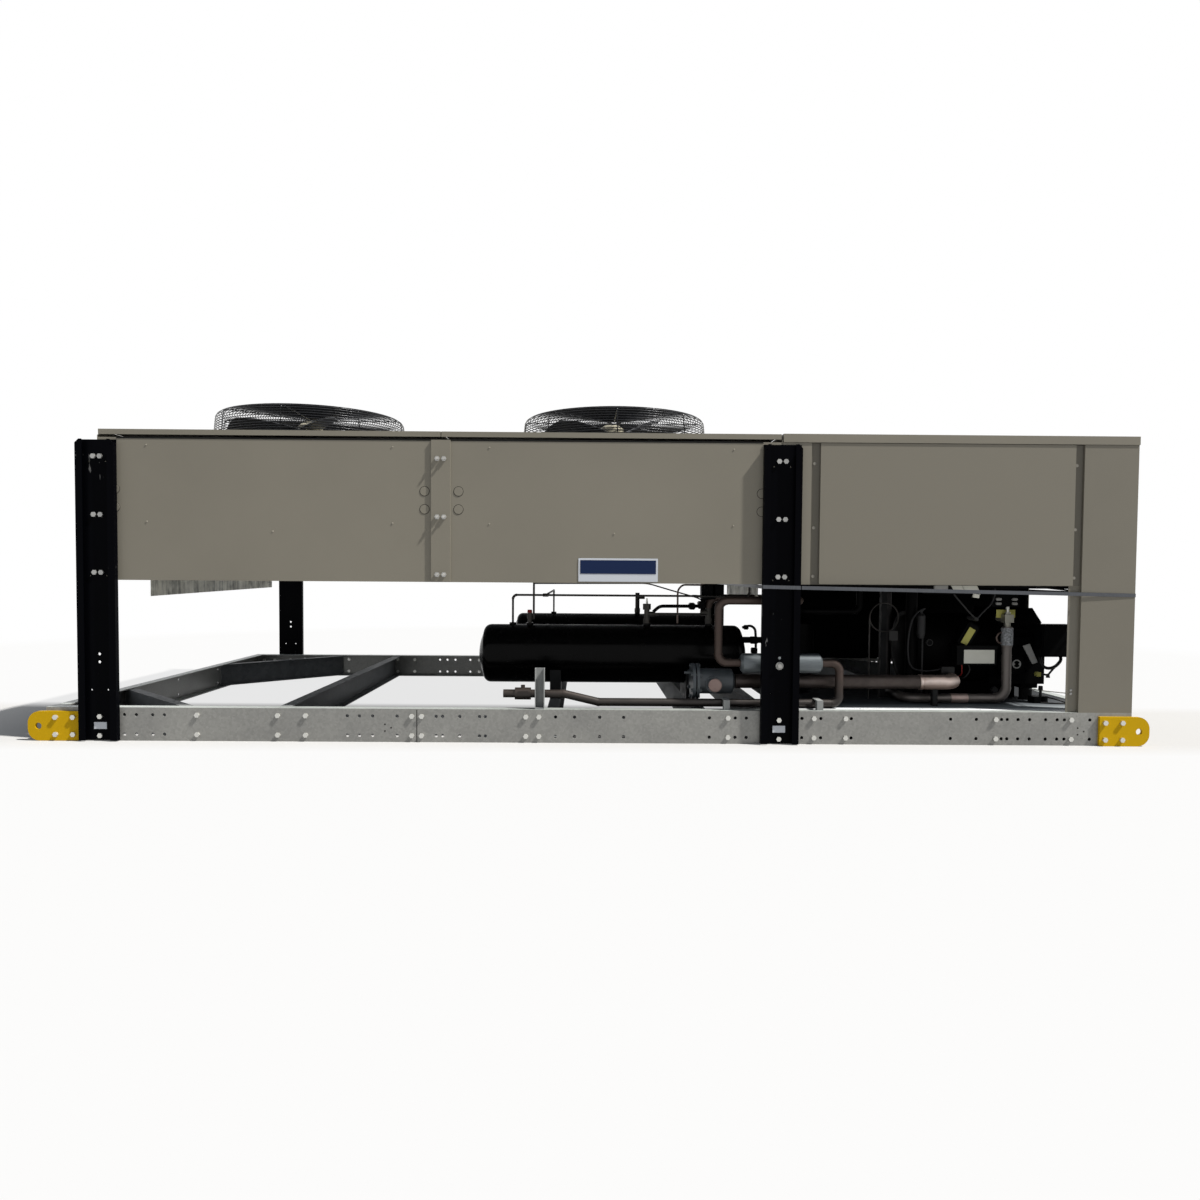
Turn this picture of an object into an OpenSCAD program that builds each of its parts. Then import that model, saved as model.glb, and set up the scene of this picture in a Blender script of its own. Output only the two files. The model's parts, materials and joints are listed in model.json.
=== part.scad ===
// Air-cooled refrigeration condensing unit: a four-fan condenser and a control section stand on
// channel legs over a galvanized base frame, with the compressor, receivers and piping slung between.
// Origin: centre of the footprint on the floor. +X to the right, +Y to the rear, +Z up. Millimetres.

/* [Base frame] */
// Length of the base frame
frame_len = 4572; // [4520:1:4620]
// Depth of the base frame over its rails
frame_w = 2286; // [2260:2:2320]
// Height of the channel rails
rail_h = 140; // [136:1:144]
// Flange width of the rails
rail_flange = 50; // [40:1:54]
// Thickness of the rails
rail_t = 5; // [4:0.5:6]
// Radius of the holes punched along the rails
hole_r = 7; // [6:0.5:7]
// Thickness of a lifting lug
lug_t = 12; // [10:1:14]

/* [Legs] */
// Width of a leg over its flanges
leg_w = 159; // [150:1:165]
// Depth of a leg from its web to its lips
leg_d = 25; // [20:1:30]
// Width of the in-turned lips
leg_lip = 28; // [20:1:30]
// Thickness of the leg channel
leg_t = 4; // [3:0.5:5]
// Height of the top of the legs
leg_top = 1255; // [1240:1:1262]
// How far the rear middle leg stands to the right of the section joint
rear_leg_shift = 67; // [0:1:70]

/* [Casing] */
// Length of one fan section
section_len = 1423.5; // [1410:0.5:1430]
// Height of the underside of the casing
casing_z0 = 674; // [670:1:690]
// Height of the top of the casing panels
casing_z1 = 1266; // [1264:1:1268]
// Height of the lower edge of the condenser roof
roof_z0 = 1278; // [1276:1:1280]
// Height of the top of the condenser roof
roof_z1 = 1300; // [1298:1:1302]
// Thickness of the casing sheet
sheet_t = 2; // [1.5:0.5:2.5]

/* [Fans] */
// Distance from the middle joint to a fan centre along the unit
fan_dx = 727; // [715:1:735]
// Radius of a fan over its blade tips
fan_r = 378; // [340:1:380]
// Number of blades
fan_blades = 5; // [3:1:6]
// Pitch of the blades in degrees
blade_pitch = 27; // [20:1:30]
// Radius of a wire guard at its foot
guard_r = 441; // [432:1:444]
// Height of a wire guard
guard_h = 144; // [140:1:150]
// Half thickness of the guard wire
wire_r = 2; // [1.5:0.5:2.5]

/* [Receivers] */
// Radius of a receiver shell
receiver_r = 137; // [130:1:137]
// Length of a receiver over its heads
receiver_len = 1260; // [1200:5:1300]
// Height of the receiver centre line
receiver_z = 334; // [330:1:340]

/* [Compressor] */
// Radius of the motor barrel
barrel_r = 165; // [150:1:170]
// Height of the compressor's shaft line
shaft_z = 372; // [365:1:380]

/* [Piping] */
// Radius of the suction line
suction_r = 31; // [25:1:33]
// Radius of the discharge line
discharge_r = 21; // [15:1:23]
// Radius of the liquid line
liquid_r = 17.5; // [11:0.5:19]
// Radius of the thin lines
thin_r = 5; // [3:0.5:6]

/* [Hidden] */
$fn = 48;

tan = [0.52, 0.49, 0.43];
zinc = [0.66, 0.68, 0.69];
black = [0.08, 0.08, 0.09];
copper = [0.55, 0.38, 0.30];

half_l = frame_len / 2;
half_w = frame_w / 2;
web_in = half_w - rail_t;

// Condenser joints along X: left end, middle joint, right end where the control section begins
joint_x = [-half_l + 228, -half_l + 228 + section_len, -half_l + 228 + 2 * section_len];
fan_x = [joint_x[1] - fan_dx, joint_x[1] + fan_dx];
fan_y = [-frame_w / 4, frame_w / 4];

// Leg centres at the front and at the rear
front_legs = [joint_x[0], joint_x[2]];
rear_legs = [joint_x[0], joint_x[2] + rear_leg_shift];

// Base frame
rail_seam = -735;
rail_rows = [27, 109];
rail_holes = [-1960, -1910, -1842, -1793, -1027, -976, -921, -818, -654, -627, -555, -472, -447, -152, -72,
    34, 135, 497, 606, 653, 888, 968, 1097, 1518, 1627, 1734, 1758, 1804, 1853, 1921, 1970, 2001, 2109];
rail_bolts = [-1655, -1318, -1201, -756, -715, -277, -222, 575, 938, 1072, 1708, 2028];
lug_bolts = [half_l - 120, half_l - 47];
lug_rows = [27, 99];
lug_h = 124;
lug_end = half_l + 70;
lug_root = half_l - 142;
lug_hole = half_l + 26;
member_x = [-1340, -190, 440, 715, 1046, 1560];
member_flange = 50;
brace_run = 590;

// Legs and casing bolts
leg_z0 = 3;
leg_base_rows = [22, 102];
joint_rows = [705, 945, 1186];
joint_bolt_dx = 14;
strap_h = 8;

// Control section
control_x0 = joint_x[2];
control_x1 = half_l;
cover_x0 = control_x0 + 161;
cover_x1 = half_l - 265;
cover_step = 12;
strip_w = 36;
post_x0 = half_l - 228;
post_lap = 48;
post_side = 80;
bay_open_y = -half_w + 841;
control_roof_z1 = 1302;

// Fan parts
venturi_r = 388;
motor_r = 78;
motor_z = [1130, 1290];
shaft_r = 8;
hub_r = 59;
hub_z = [1300, 1400];
blade_t = 3;
blade_chord = 235;
blade_arc_r = 330;

// Receivers
receiver_x0 = -529;
receiver_y = -676;
rear_receiver_x0 = -459;
rear_receiver_y = 430;
boss_z = receiver_z + receiver_r + 9;
front_bosses = [-372, -291, 264, 557];
rear_bosses = [-217, 290];
king_x = 264;

// Compressor
comp_y = -640;
barrel_x = [1520, 1860];
case_x = [1850, 2105];
deck_z = 135;
deck_t = 3;
valve_x = 1875;
valve_y = -893;
pump_x = 1942;
pump_z = 310;

// Pipe planes
elbow_wall = 1.2;
suction_y = -half_w + 180;
suction_z = 243;
suction_x = 1625;
stub_x = 533;
stub_dz = -8;
high_line_z = 602;
drier_x = [640, 990];
drier_y = -half_w + 90;
drier_z = 333;
low_line_y = -half_w + 90;
low_line_z = 160;

// ---------- helpers ----------
module slab(a, b) {
    translate(a) cube(b - a);
}

module rod_x(r, x0, x1, y, z) {
    translate([x0, y, z]) rotate([0, 90, 0]) cylinder(r = r, h = x1 - x0);
}

module rod_y(r, y0, y1, x, z) {
    translate([x, y0, z]) rotate([-90, 0, 0]) cylinder(r = r, h = y1 - y0);
}

module rod_z(r, z0, z1, x, y) {
    translate([x, y, z0]) cylinder(r = r, h = z1 - z0);
}

// Extrudes an outline drawn in (Y, Z) along X
module along_x(x0, x1) {
    translate([x0, 0, 0]) rotate([90, 0, 90]) linear_extrude(x1 - x0) children();
}

// Extrudes an outline drawn in (X, Z) towards +Y
module along_y(y0, y1) {
    translate([0, y1, 0]) rotate([90, 0, 0]) linear_extrude(y1 - y0) children();
}

// Extrudes an outline drawn in (X, Y) upward
module along_z(z0, z1) {
    translate([0, 0, z0]) linear_extrude(z1 - z0) children();
}

module both_sides() {
    children();
    mirror([0, 1, 0]) children();
}

// Pipe through a list of points with round elbows at its corners
function unit(v) = v / norm(v);
function corner_trim(p, i, bend) =
    let (a = unit(p[i] - p[i - 1]), b = unit(p[i + 1] - p[i]))
    bend * tan_half(acos(max(-1, min(1, a * b))));
function tan_half(angle) = sin(angle / 2) / cos(angle / 2);

// Tubes run a little way into elbow fittings that are slightly larger than the tube
module pipe(points, r, bend) {
    last = len(points) - 1;
    lap = 0.7 * sqrt(2 * bend * elbow_wall);
    for (i = [0 : last - 1]) {
        d = unit(points[i + 1] - points[i]);
        a = i == 0 ? points[i] : points[i] + d * (corner_trim(points, i, bend) - lap);
        b = i == last - 1 ? points[i + 1] : points[i + 1] - d * (corner_trim(points, i + 1, bend) - lap);
        translate(a) rotate([0, acos(d[2]), atan2(d[1], d[0])]) cylinder(r = r, h = norm(b - a));
    }
    for (i = [1 : 1 : last - 1]) elbow(points, i, r + elbow_wall, bend);
}

module elbow(p, i, r, bend) {
    a = unit(p[i] - p[i - 1]);
    b = unit(p[i + 1] - p[i]);
    n = unit(cross(a, b));
    s = cross(a, n);
    start = p[i] - a * corner_trim(p, i, bend);
    centre = start - s * bend;
    // columns: radial out, travel direction, plane normal
    multmatrix([[s[0], a[0], -n[0], centre[0]], [s[1], a[1], -n[1], centre[1]],
        [s[2], a[2], -n[2], centre[2]], [0, 0, 0, 1]])
        rotate_extrude(angle = acos(a * b)) translate([bend, 0]) circle(r = r, $fn = 32);
}

// ---------- base frame ----------
module channel_outline(h, flange, t) {
    difference() {
        square([flange, h]);
        translate([t, t]) square([flange, h - 2 * t]);
    }
}

// Bolts along a rail, without those that a leg's foot covers
function bolts_clear_of(legs) =
    [for (x = rail_bolts) if (min([for (leg_x = legs) abs(x - leg_x)]) > leg_w / 2 + 12) x];

module rail(x0, x1, legs) {
    difference() {
        along_x(x0, x1) translate([-half_w, 0]) channel_outline(rail_h, rail_flange, rail_t);
        for (x = concat(rail_holes, bolts_clear_of(legs)), z = rail_rows)
            if (x > x0 && x < x1) rod_y(hole_r, -half_w - 1, -web_in + 1, x, z);
        for (x = lug_bolts, s = [-1, 1], z = lug_rows)
            if (s * x > x0 && s * x < x1) rod_y(hole_r, -half_w - 1, -web_in + 1, s * x, z);
        for (x = legs, z = leg_base_rows)
            if (x > x0 && x < x1) rod_y(hole_r, -half_w - 1, -web_in + 1, x, z);
    }
}

module front_rail_left() color(zinc) rail(-half_l, rail_seam, front_legs);

module front_rail_right() color(zinc) rail(rail_seam, half_l, front_legs);

module rear_rails() color(zinc) mirror([0, 1, 0]) {
    rail(-half_l, rail_seam - 0.2, rear_legs);
    rail(rail_seam + 0.2, half_l, rear_legs);
}

module end_rails() color(zinc) for (s = [-1, 1]) end_rail(s);

module end_rail(s) {
    mirror([s < 0 ? 0 : 1, 0, 0]) difference() {
        union() {
            translate([0, half_w - rail_flange, 0]) rotate([90, 0, 0])
                linear_extrude(frame_w - 2 * rail_flange) translate([-half_l, 0])
                channel_outline(rail_h, rail_flange, rail_t);
            slab([-half_l, -web_in, rail_t], [-half_l + rail_t, web_in, rail_h - rail_t]);
        }
        for (y = [-780, -640, -500, 0, 500, 640, 780], z = rail_rows)
            rod_x(hole_r, -half_l - 1, -half_l + rail_t + 1, y, z);
    }
}

module cross_members() color(zinc) for (x = member_x) cross_member(x);

module cross_member(x) {
    h = rail_h - 2 * rail_t;
    translate([x, web_in, rail_t]) rotate([90, 0, 0]) linear_extrude(2 * web_in)
        channel_outline(h, member_flange, 4);
}

module corner_braces() color(zinc) for (sx = [0, 1], sy = [0, 1])
    mirror([sx, 0, 0]) mirror([0, sy, 0]) corner_brace();

module corner_brace() {
    reach = brace_run * sqrt(2) + 200;
    intersection() {
        translate([-half_l + rail_t, -web_in + brace_run, 0]) rotate([0, 0, -45])
            translate([-100, 0, rail_t]) rotate([90, 0, 90]) linear_extrude(reach)
            channel_outline(rail_h - 2 * rail_t, 45, 4);
        slab([-half_l + rail_t, -web_in + 8, rail_t], [-half_l + rail_t + brace_run + 100,
            -web_in + brace_run + 100, rail_h - rail_t]);
    }
}

module lifting_lugs() color([0.85, 0.65, 0.06]) for (sx = [0, 1], sy = [0, 1])
    mirror([sx, 0, 0]) mirror([0, sy, 0]) lifting_lug();

module lifting_lug() {
    nose = 50;
    difference() {
        along_y(-half_w - lug_t, -half_w) {
            translate([lug_root, 0]) square([lug_end - nose - lug_root, lug_h]);
            translate([lug_root, nose]) square([lug_end - lug_root, lug_h - 2 * nose]);
            for (z = [nose, lug_h - nose]) translate([lug_end - nose, z]) circle(r = nose);
        }
        rod_y(13.5, -half_w - lug_t - 1, -half_w + 1, lug_hole, lug_h / 2);
        for (x = lug_bolts, z = lug_rows) rod_y(hole_r, -half_w - lug_t - 1, -half_w + 1, x, z);
    }
}

// A hex bolt through a wall whose outer face is at y0: head outside, shank and nut inside
module hex_bolt(x, y0, z, grip) {
    head_r = 11;
    head_h = 8;
    shank_r = 6;
    translate([x, y0 - head_h, z]) rotate([-90, 0, 0]) cylinder(r = head_r, h = head_h, $fn = 6);
    rod_y(shank_r, y0, y0 + grip + 9, x, z);
    translate([x, y0 + grip, z]) rotate([-90, 0, 0]) cylinder(r = head_r, h = 7, $fn = 6);
}

module hex_bolts() color([0.62, 0.62, 0.60]) {
    both_sides() {
        for (x = lug_bolts, s = [-1, 1], z = lug_rows) hex_bolt(s * x, -half_w - lug_t, z, lug_t + rail_t);
        hex_bolts_joint(joint_x[1], -half_w - strap_h, strap_h + sheet_t);
    }
    side_bolts(front_legs);
    mirror([0, 1, 0]) side_bolts(rear_legs);
}

module side_bolts(legs) {
    for (x = bolts_clear_of(legs), z = rail_rows) hex_bolt(x, -half_w, z, rail_t);
    leg_bolts(legs);
}

module leg_bolts(legs) {
    web_y = -half_w - leg_t;
    for (x = legs, z = leg_base_rows) hex_bolt(x, web_y, z, leg_t + rail_t);
    hex_bolts_joint(legs[0], web_y, leg_t + sheet_t);
    hex_bolts_joint(legs[1], web_y, leg_t + 3);
}

module hex_bolts_joint(x, y0, grip) {
    for (dx = [-1, 1], z = joint_rows) hex_bolt(x + dx * joint_bolt_dx, y0, z, grip);
}

module joint_holes(x) {
    for (dx = [-1, 1], z = joint_rows)
        rod_y(hole_r, -half_w - 20, -half_w + 20, x + dx * joint_bolt_dx, z);
}

module compressor_deck() color(zinc) difference() {
    slab([820, -half_w + rail_flange + 2, deck_z], [half_l - rail_flange - 2, 60, deck_z + deck_t]);
    for (x = [900 : 260 : 2200], y = [-1060, 30]) rod_z(5, deck_z - 1, deck_z + deck_t + 1, x, y);
}

// ---------- legs ----------
module leg(x) {
    outer = leg_w / 2;
    front = -half_w - leg_d;
    chamfer = 16;
    difference() {
        union() {
            slab([x - outer, -half_w - leg_t, leg_z0], [x + outer, -half_w, leg_top]);
            for (s = [-1, 1]) {
                slab([x + (s < 0 ? -outer : outer - leg_t), front, leg_z0],
                    [x + (s < 0 ? -outer + leg_t : outer), -half_w, leg_top]);
                slab([x + (s < 0 ? -outer : outer - leg_lip), front, leg_z0],
                    [x + (s < 0 ? -outer + leg_lip : outer), front + leg_t, leg_top]);
            }
        }
        for (s = [-1, 1]) {
            along_y(front - 1, -half_w - leg_t) translate([x + s * outer, leg_top])
                rotate(45) square(chamfer * sqrt(2), center = true);
            rod_y(3, front - 1, front + leg_t + 1, x + s * (outer - 10), leg_top - 22);
        }
        joint_holes(x);
        for (z = leg_base_rows) rod_y(hole_r, -half_w - 20, -half_w + 20, x, z);
        for (z = [331, 364]) rod_y(6, -half_w - leg_t - 1, -half_w + 1, x, z);
        for (s = [-1, 1], z = [214, 690, 1164]) rod_y(3.5, -half_w - leg_t - 1, -half_w + 1, x + s * 34, z);
    }
}

module leg_front_left() color(black) leg(joint_x[0]);

module leg_front_mid() color(black) leg(joint_x[2]);

module leg_rear_left() color(black) mirror([0, 1, 0]) leg(joint_x[0]);

module leg_rear_mid() color(black) mirror([0, 1, 0]) leg(joint_x[2] + rear_leg_shift);

// ---------- control section ----------
module corner_posts() color(tan) both_sides() corner_post();

module corner_post() {
    t = 3;
    recess = -half_w + cover_step;
    slab([post_x0, -half_w, rail_h], [control_x1, -half_w + t, casing_z1]);
    slab([post_x0, -half_w, rail_h], [post_x0 + t, recess + t, casing_z1]);
    slab([post_x0 - post_lap, recess, rail_h], [post_x0 + t, recess + t, casing_z1]);
    slab([control_x1 - t, -half_w, rail_h], [control_x1, -half_w + post_side, casing_z1]);
    slab([post_x0, -half_w, rail_h], [control_x1, -half_w + rail_flange - 4, rail_h + t]);
}

// Panels that close the right end and the rear of the compressor bay below the control box
module bay_panels() color(tan) {
    t = 3;
    slab([control_x1 - t, bay_open_y, rail_h], [control_x1, half_w - post_side - 1, casing_z0]);
    slab([1250, half_w - t, rail_h], [post_x0 - post_lap - 1, half_w, casing_z0]);
}

// Black acoustic lining inside those panels and under the control box
module bay_liner() color([0.05, 0.05, 0.05]) {
    t = 12;
    z0 = rail_h + 3;
    z1 = casing_z0 - t - 1;
    back = half_w - cover_step - 3;
    slab([control_x1 - 3 - t, bay_open_y + 4, z0], [control_x1 - 3, back - t - 1, z1]);
    slab([1254, back - t, z0], [control_x1 - 4 - t, back, z1]);
    slab([control_x0 + 90, -half_w + 60, casing_z0 - t], [control_x1 - post_side, half_w - 100, casing_z0]);
}

module control_box() color(tan) {
    t = 3;
    top = control_roof_z1 - 3;
    recess = -half_w + cover_step;
    lap_x = post_x0 - post_lap - 2;
    strip_x0 = cover_x0 - strip_w - 5;
    difference() {
        union() {
            slab([control_x0 + 2, recess + t, casing_z0], [lap_x, half_w - t, casing_z0 + t]);
            slab([lap_x, recess + t, casing_z0], [control_x1 - 3, -recess - t, casing_z0 + t]);
            slab([control_x1 - 3 - t, recess + t, casing_z0], [control_x1 - 3, half_w - t, top]);
            slab([control_x0 + 2, half_w - t, casing_z0], [lap_x, half_w, casing_z1]);
            slab([control_x0 + 2, -half_w, casing_z0], [strip_x0 + t, -half_w + t, casing_z1]);
            slab([strip_x0, -half_w, casing_z0], [strip_x0 + t, recess + t, casing_z1]);
            slab([strip_x0, recess, casing_z0], [cover_x0 + 12, recess + t, casing_z1]);
            slab([strip_x0, recess, casing_z1 - 40], [lap_x, recess + t, top]);
        }
        joint_holes(front_legs[1]);
        mirror([0, 1, 0]) joint_holes(rear_legs[1]);
        for (x = [1200, 1500, 1800]) rod_z(25, casing_z0 - 1, casing_z0 + t + 1, x, -900);
    }
}

// Screwed access cover: a raised face between two stepped-back screw flanges
module control_cover() color(tan) {
    t = 2.5;
    front = -half_w;
    back = -half_w + cover_step;
    z0 = casing_z0 + 2;
    z1 = casing_z1 - 1;
    difference() {
        union() {
            slab([cover_x0, front, z0], [cover_x1, front + t, z1]);
            for (x = [cover_x0, cover_x1 - t]) slab([x, front, z0], [x + t, back, z1]);
            slab([cover_x0 - strip_w, back - t, z0], [cover_x0 + t, back, z1]);
            slab([cover_x1 - t, back - t, z0], [cover_x1 + strip_w - 1, back, z1]);
            slab([cover_x0, front, z1 - t], [cover_x1, back, z1]);
            slab([cover_x0, front, z0], [cover_x1, back, z0 + t]);
        }
        cover_screw_places() rod_y(3.6, -2, 20, 0, 0);
    }
}

module cover_screw_places() {
    for (z = [709, 912, 1180], x = [cover_x0 - 24, cover_x1 + 8])
        translate([x, -half_w + cover_step - 4, z]) children();
}

module cover_screws() color([0.7, 0.68, 0.62]) cover_screw_places() {
    rod_y(6.5, -1.5, 1.5, 0, 0);
    rod_y(3, 1.5, 3.9, 0, 0);
}

module control_roof() color(tan) difference() {
    slab([control_x0 + 4, -half_w - 3, casing_z1 + 1], [control_x1 + 2, half_w + 3, control_roof_z1]);
    slab([control_x0 + 6, -half_w - 1, casing_z1], [control_x1, half_w + 1, control_roof_z1 - 3]);
}

// Backplate with its contactors, relays and terminal strip, inside the control box
module control_gear() color([0.75, 0.76, 0.76]) {
    y0 = -900;
    slab([1050, y0, 720], [1950, y0 + 3, 1230]);
    for (x = [1050, 1944]) slab([x, y0, casing_z0 + 3], [x + 6, y0 + 60, 720]);
    for (i = [0 : 3]) contactor(1120 + i * 200, y0, 1000);
    for (i = [0 : 5]) slab([1120 + i * 120, y0 - 70, 860], [1200 + i * 120, y0, 940]);
    slab([1120, y0 - 45, 760], [1850, y0, 800]);
}

module contactor(x, y, z) {
    slab([x, y - 60, z], [x + 120, y, z + 140]);
    slab([x + 15, y - 100, z + 35], [x + 105, y - 60, z + 105]);
}

// ---------- condenser casing ----------
module casing_panel(x0, x1, legs) {
    lip = 30;
    difference() {
        union() {
            slab([x0, -half_w, casing_z0], [x1, -half_w + sheet_t, casing_z1]);
            for (z = [casing_z0, casing_z1 - sheet_t])
                slab([x0, -half_w, z], [x1, -half_w + lip, z + sheet_t]);
        }
        joint_holes(joint_x[1]);
        for (x = legs) joint_holes(x);
    }
}

module front_panel_left() color(tan) casing_panel(joint_x[0] + sheet_t, joint_x[1] - 0.5, front_legs);

module front_panel_right() color(tan) casing_panel(joint_x[1] + 0.5, joint_x[2] - sheet_t, front_legs);

module rear_panels() color(tan) mirror([0, 1, 0]) {
    casing_panel(joint_x[0] + sheet_t, joint_x[1] - 0.5, rear_legs);
    casing_panel(joint_x[1] + 0.5, joint_x[2] - sheet_t, rear_legs);
}

module side_panels() color(tan) {
    for (x = [joint_x[0], joint_x[2] - sheet_t])
        difference() {
            slab([x, -half_w, casing_z0], [x + sheet_t, half_w, roof_z1 - sheet_t]);
            for (y = [-half_w - 1, half_w - 8])
                slab([x - 1, y, roof_z0 - 2], [x + sheet_t + 1, y + 9, roof_z1]);
        }
    // outer angles that the left legs bolt through
    both_sides() difference() {
        slab([joint_x[0] - 50, -half_w, casing_z0 + 4], [joint_x[0], -half_w + sheet_t, leg_top - 20]);
        joint_holes(joint_x[0]);
    }
}

module roof(x0, x1, cx) {
    difference() {
        union() {
            slab([x0, -half_w, roof_z1 - sheet_t], [x1, half_w, roof_z1]);
            for (y = [-half_w, half_w - sheet_t]) slab([x0, y, roof_z0], [x1, y + sheet_t, roof_z1]);
        }
        for (y = fan_y) rod_z(venturi_r + 1, roof_z0, roof_z1 + 10, cx, y);
    }
    for (y = fan_y) translate([cx, y, 0]) venturi();
}

// Fan ring with a bell mouth at its inlet
module venturi() {
    bell = 28;
    z0 = 1232;
    wall = 3;
    arc = [for (a = [0 : 15 : 90]) [bell * (1 - cos(a)), bell * (1 - sin(a))]];
    rotate_extrude($fn = 96) {
        translate([venturi_r, z0 + bell]) square([wall, roof_z1 + 4 - z0 - bell]);
        translate([venturi_r, z0]) polygon(concat([for (p = arc) [p[0], p[1]]],
            [for (i = [len(arc) - 1 : -1 : 0]) [arc[i][0] + wall, arc[i][1] + (i == 0 ? 0 : wall)]]));
    }
}

module roof_left() color(tan) roof(joint_x[0] + 4, joint_x[1] - 1.5, fan_x[0]);

module roof_right() color(tan) roof(joint_x[1] + 1.5, joint_x[2] - 4, fan_x[1]);

// Shallow channels over the joint between the two fan sections
module joint_straps() color(tan) both_sides() difference() {
    half = 40;
    t = 3;
    along_z(casing_z0 + 2, casing_z1 - 2) translate([joint_x[1] - half, -half_w - strap_h]) difference() {
        square([2 * half, strap_h]);
        translate([t, t]) square([2 * half - 2 * t, strap_h]);
    }
    joint_holes(joint_x[1]);
}

// ---------- coil ----------
coil_x = [joint_x[0] + 79, joint_x[2] - 77];
coil_z = [700, 860];
coil_half = 1085;

module coil_fins() color([0.72, 0.74, 0.75]) for (s = [-1, 1]) difference() {
    slab([coil_x[0], s < 0 ? -coil_half : 5, coil_z[0]], [coil_x[1], s < 0 ? -5 : coil_half, coil_z[1]]);
    for (x = [coil_x[0] + 120 : 120 : coil_x[1] - 60])
        slab([x, s < 0 ? -coil_half - 1 : 4, coil_z[0] - 1],
            [x + 4, s < 0 ? -4 : coil_half + 1, coil_z[0] + 8]);
}

module tube_sheets() color(zinc) {
    t = 3;
    for (x = [coil_x[0] - t, coil_x[1]])
        slab([x, -coil_half - 20, casing_z0 + 4], [x + t, coil_half + 20, coil_z[1] + 6]);
    end_plate(joint_x[0] + 14, [-754, 754]);
    difference() {
        along_x(joint_x[2] - 16, joint_x[2] - 13.5) polygon([[-754, 595], [80, 603], [80, 760], [-754, 760]]);
        rod_x(liquid_r + 4, joint_x[2] - 20, joint_x[2] - 10, receiver_y, high_line_z);
    }
}

// Hanging end plate whose lower edge rises to the rear
module end_plate(x, y) {
    along_x(x, x + 2.5) polygon([[y[0], 595], [y[1], 595 + (y[1] - y[0]) / 100], [y[1], 760], [y[0], 760]]);
    slab([x - 12, y[0], 740], [x, y[1], 742.5]);
}

module coil_tubing() color(copper) {
    pitch = 54;
    tube = 5;
    for (s = [-1, 1], z = [735, 780, 825], i = [0 : 8])
        translate([coil_x[0] - 3, s * (90 + i * 2 * pitch), z]) return_bend(pitch / 2, tube);
    for (s = [-1, 1]) {
        rod_z(22, 690, 880, coil_x[1] + 30, s * 300);
        rod_z(17, 690, 880, coil_x[1] + 30, s * 720);
        for (y = [300, 720], z = [720, 760, 800, 840]) rod_x(tube, coil_x[1] + 3, coil_x[1] + 20, s * y, z);
    }
}

module return_bend(half, r) {
    rotate([0, 0, 90]) rotate_extrude(angle = 180) translate([half, 0]) circle(r = r, $fn = 24);
}

// ---------- fans ----------
function guard_side(z) = guard_r - 11 * z / guard_h;

module guard_ring(r, z) {
    translate([0, 0, z]) rotate_extrude($fn = 96) translate([r - wire_r, -wire_r]) square(2 * wire_r);
}

module guard_rib() {
    w = 4;
    h = 7;
    shoulder = guard_side(guard_h);
    rotate([90, 0, 0]) translate([0, 0, -w / 2]) linear_extrude(w) polygon([
        [58, guard_h - h], [58, guard_h], [shoulder - 22, guard_h], [shoulder - 6, guard_h - 7],
        [shoulder + 3, guard_h - 24], [guard_r + 3, 0], [guard_r - 5, 0], [shoulder - 5, guard_h - 26],
        [shoulder - 11, guard_h - 13], [shoulder - 24, guard_h - h]]);
}

module fan_guard() {
    shoulder = guard_side(guard_h);
    ring_pitch = 26;
    for (z = [wire_r, 25, 49, 73, 97, 120]) guard_ring(guard_side(z), z);
    guard_ring(shoulder - 7, guard_h - 11);
    for (r = [60 : ring_pitch : shoulder - 50]) guard_ring(r, guard_h - 3);
    for (a = [0 : 45 : 315]) rotate(a) guard_rib();
}

module fan_guards_front() color([0.12, 0.12, 0.13])
    for (x = fan_x) translate([x, fan_y[0], roof_z1]) fan_guard();

module fan_guards_rear() color([0.12, 0.12, 0.13])
    for (x = fan_x) translate([x, fan_y[1], roof_z1]) fan_guard();

module fan_places() {
    for (x = fan_x, y = fan_y) translate([x, y, 0]) children();
}

module fan_motors() color([0.2, 0.2, 0.21]) fan_places() difference() {
    union() {
        rod_z(motor_r, motor_z[0] + 14, motor_z[1] - 10, 0, 0);
        rod_z(motor_r - 14, motor_z[0], motor_z[1] - 4, 0, 0);
        rod_z(24, motor_z[1] - 10, motor_z[1], 0, 0);
    }
    rod_z(shaft_r + 0.05, motor_z[1] - 60, motor_z[1] + 1, 0, 0);
}

module motor_mounts() color(zinc) fan_places() {
    difference() {
        rod_z(motor_r + 6, 1190, 1225, 0, 0);
        rod_z(motor_r + 0.1, 1189, 1226, 0, 0);
    }
    for (a = [0 : 90 : 270]) rotate(a + 22) {
        slab([motor_r + 3, -15, 1195], [430, 15, 1200]);
        slab([424, -15, 1195], [430, 15, roof_z1 - sheet_t]);
        slab([motor_r + 3, -2, 1195], [426, 2, 1218]);
    }
}

// Cambered blade: a curved sheet drawn edge-on, cut to a swept outline
module blade() {
    lift = 66;
    intersection() {
        translate([0, 0, hub_z[0] + lift]) rotate([90, 0, 90]) linear_extrude(fan_r + 10)
            rotate(blade_pitch) translate([0, -blade_arc_r]) difference() {
                circle(r = blade_arc_r + blade_t, $fn = 96);
                circle(r = blade_arc_r, $fn = 96);
                translate([-500, -500]) square([1000, 500 + blade_arc_r * 0.93]);
            }
        translate([0, 0, hub_z[0] - 10]) linear_extrude(200) intersection() {
            circle(r = fan_r, $fn = 96);
            polygon([[20, -30], [120, -80], [fan_r - 40, -150], [fan_r + 30, -60], [fan_r + 30, 90],
                [fan_r - 90, 120], [120, 70], [20, 30]]);
        }
    }
}

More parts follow.
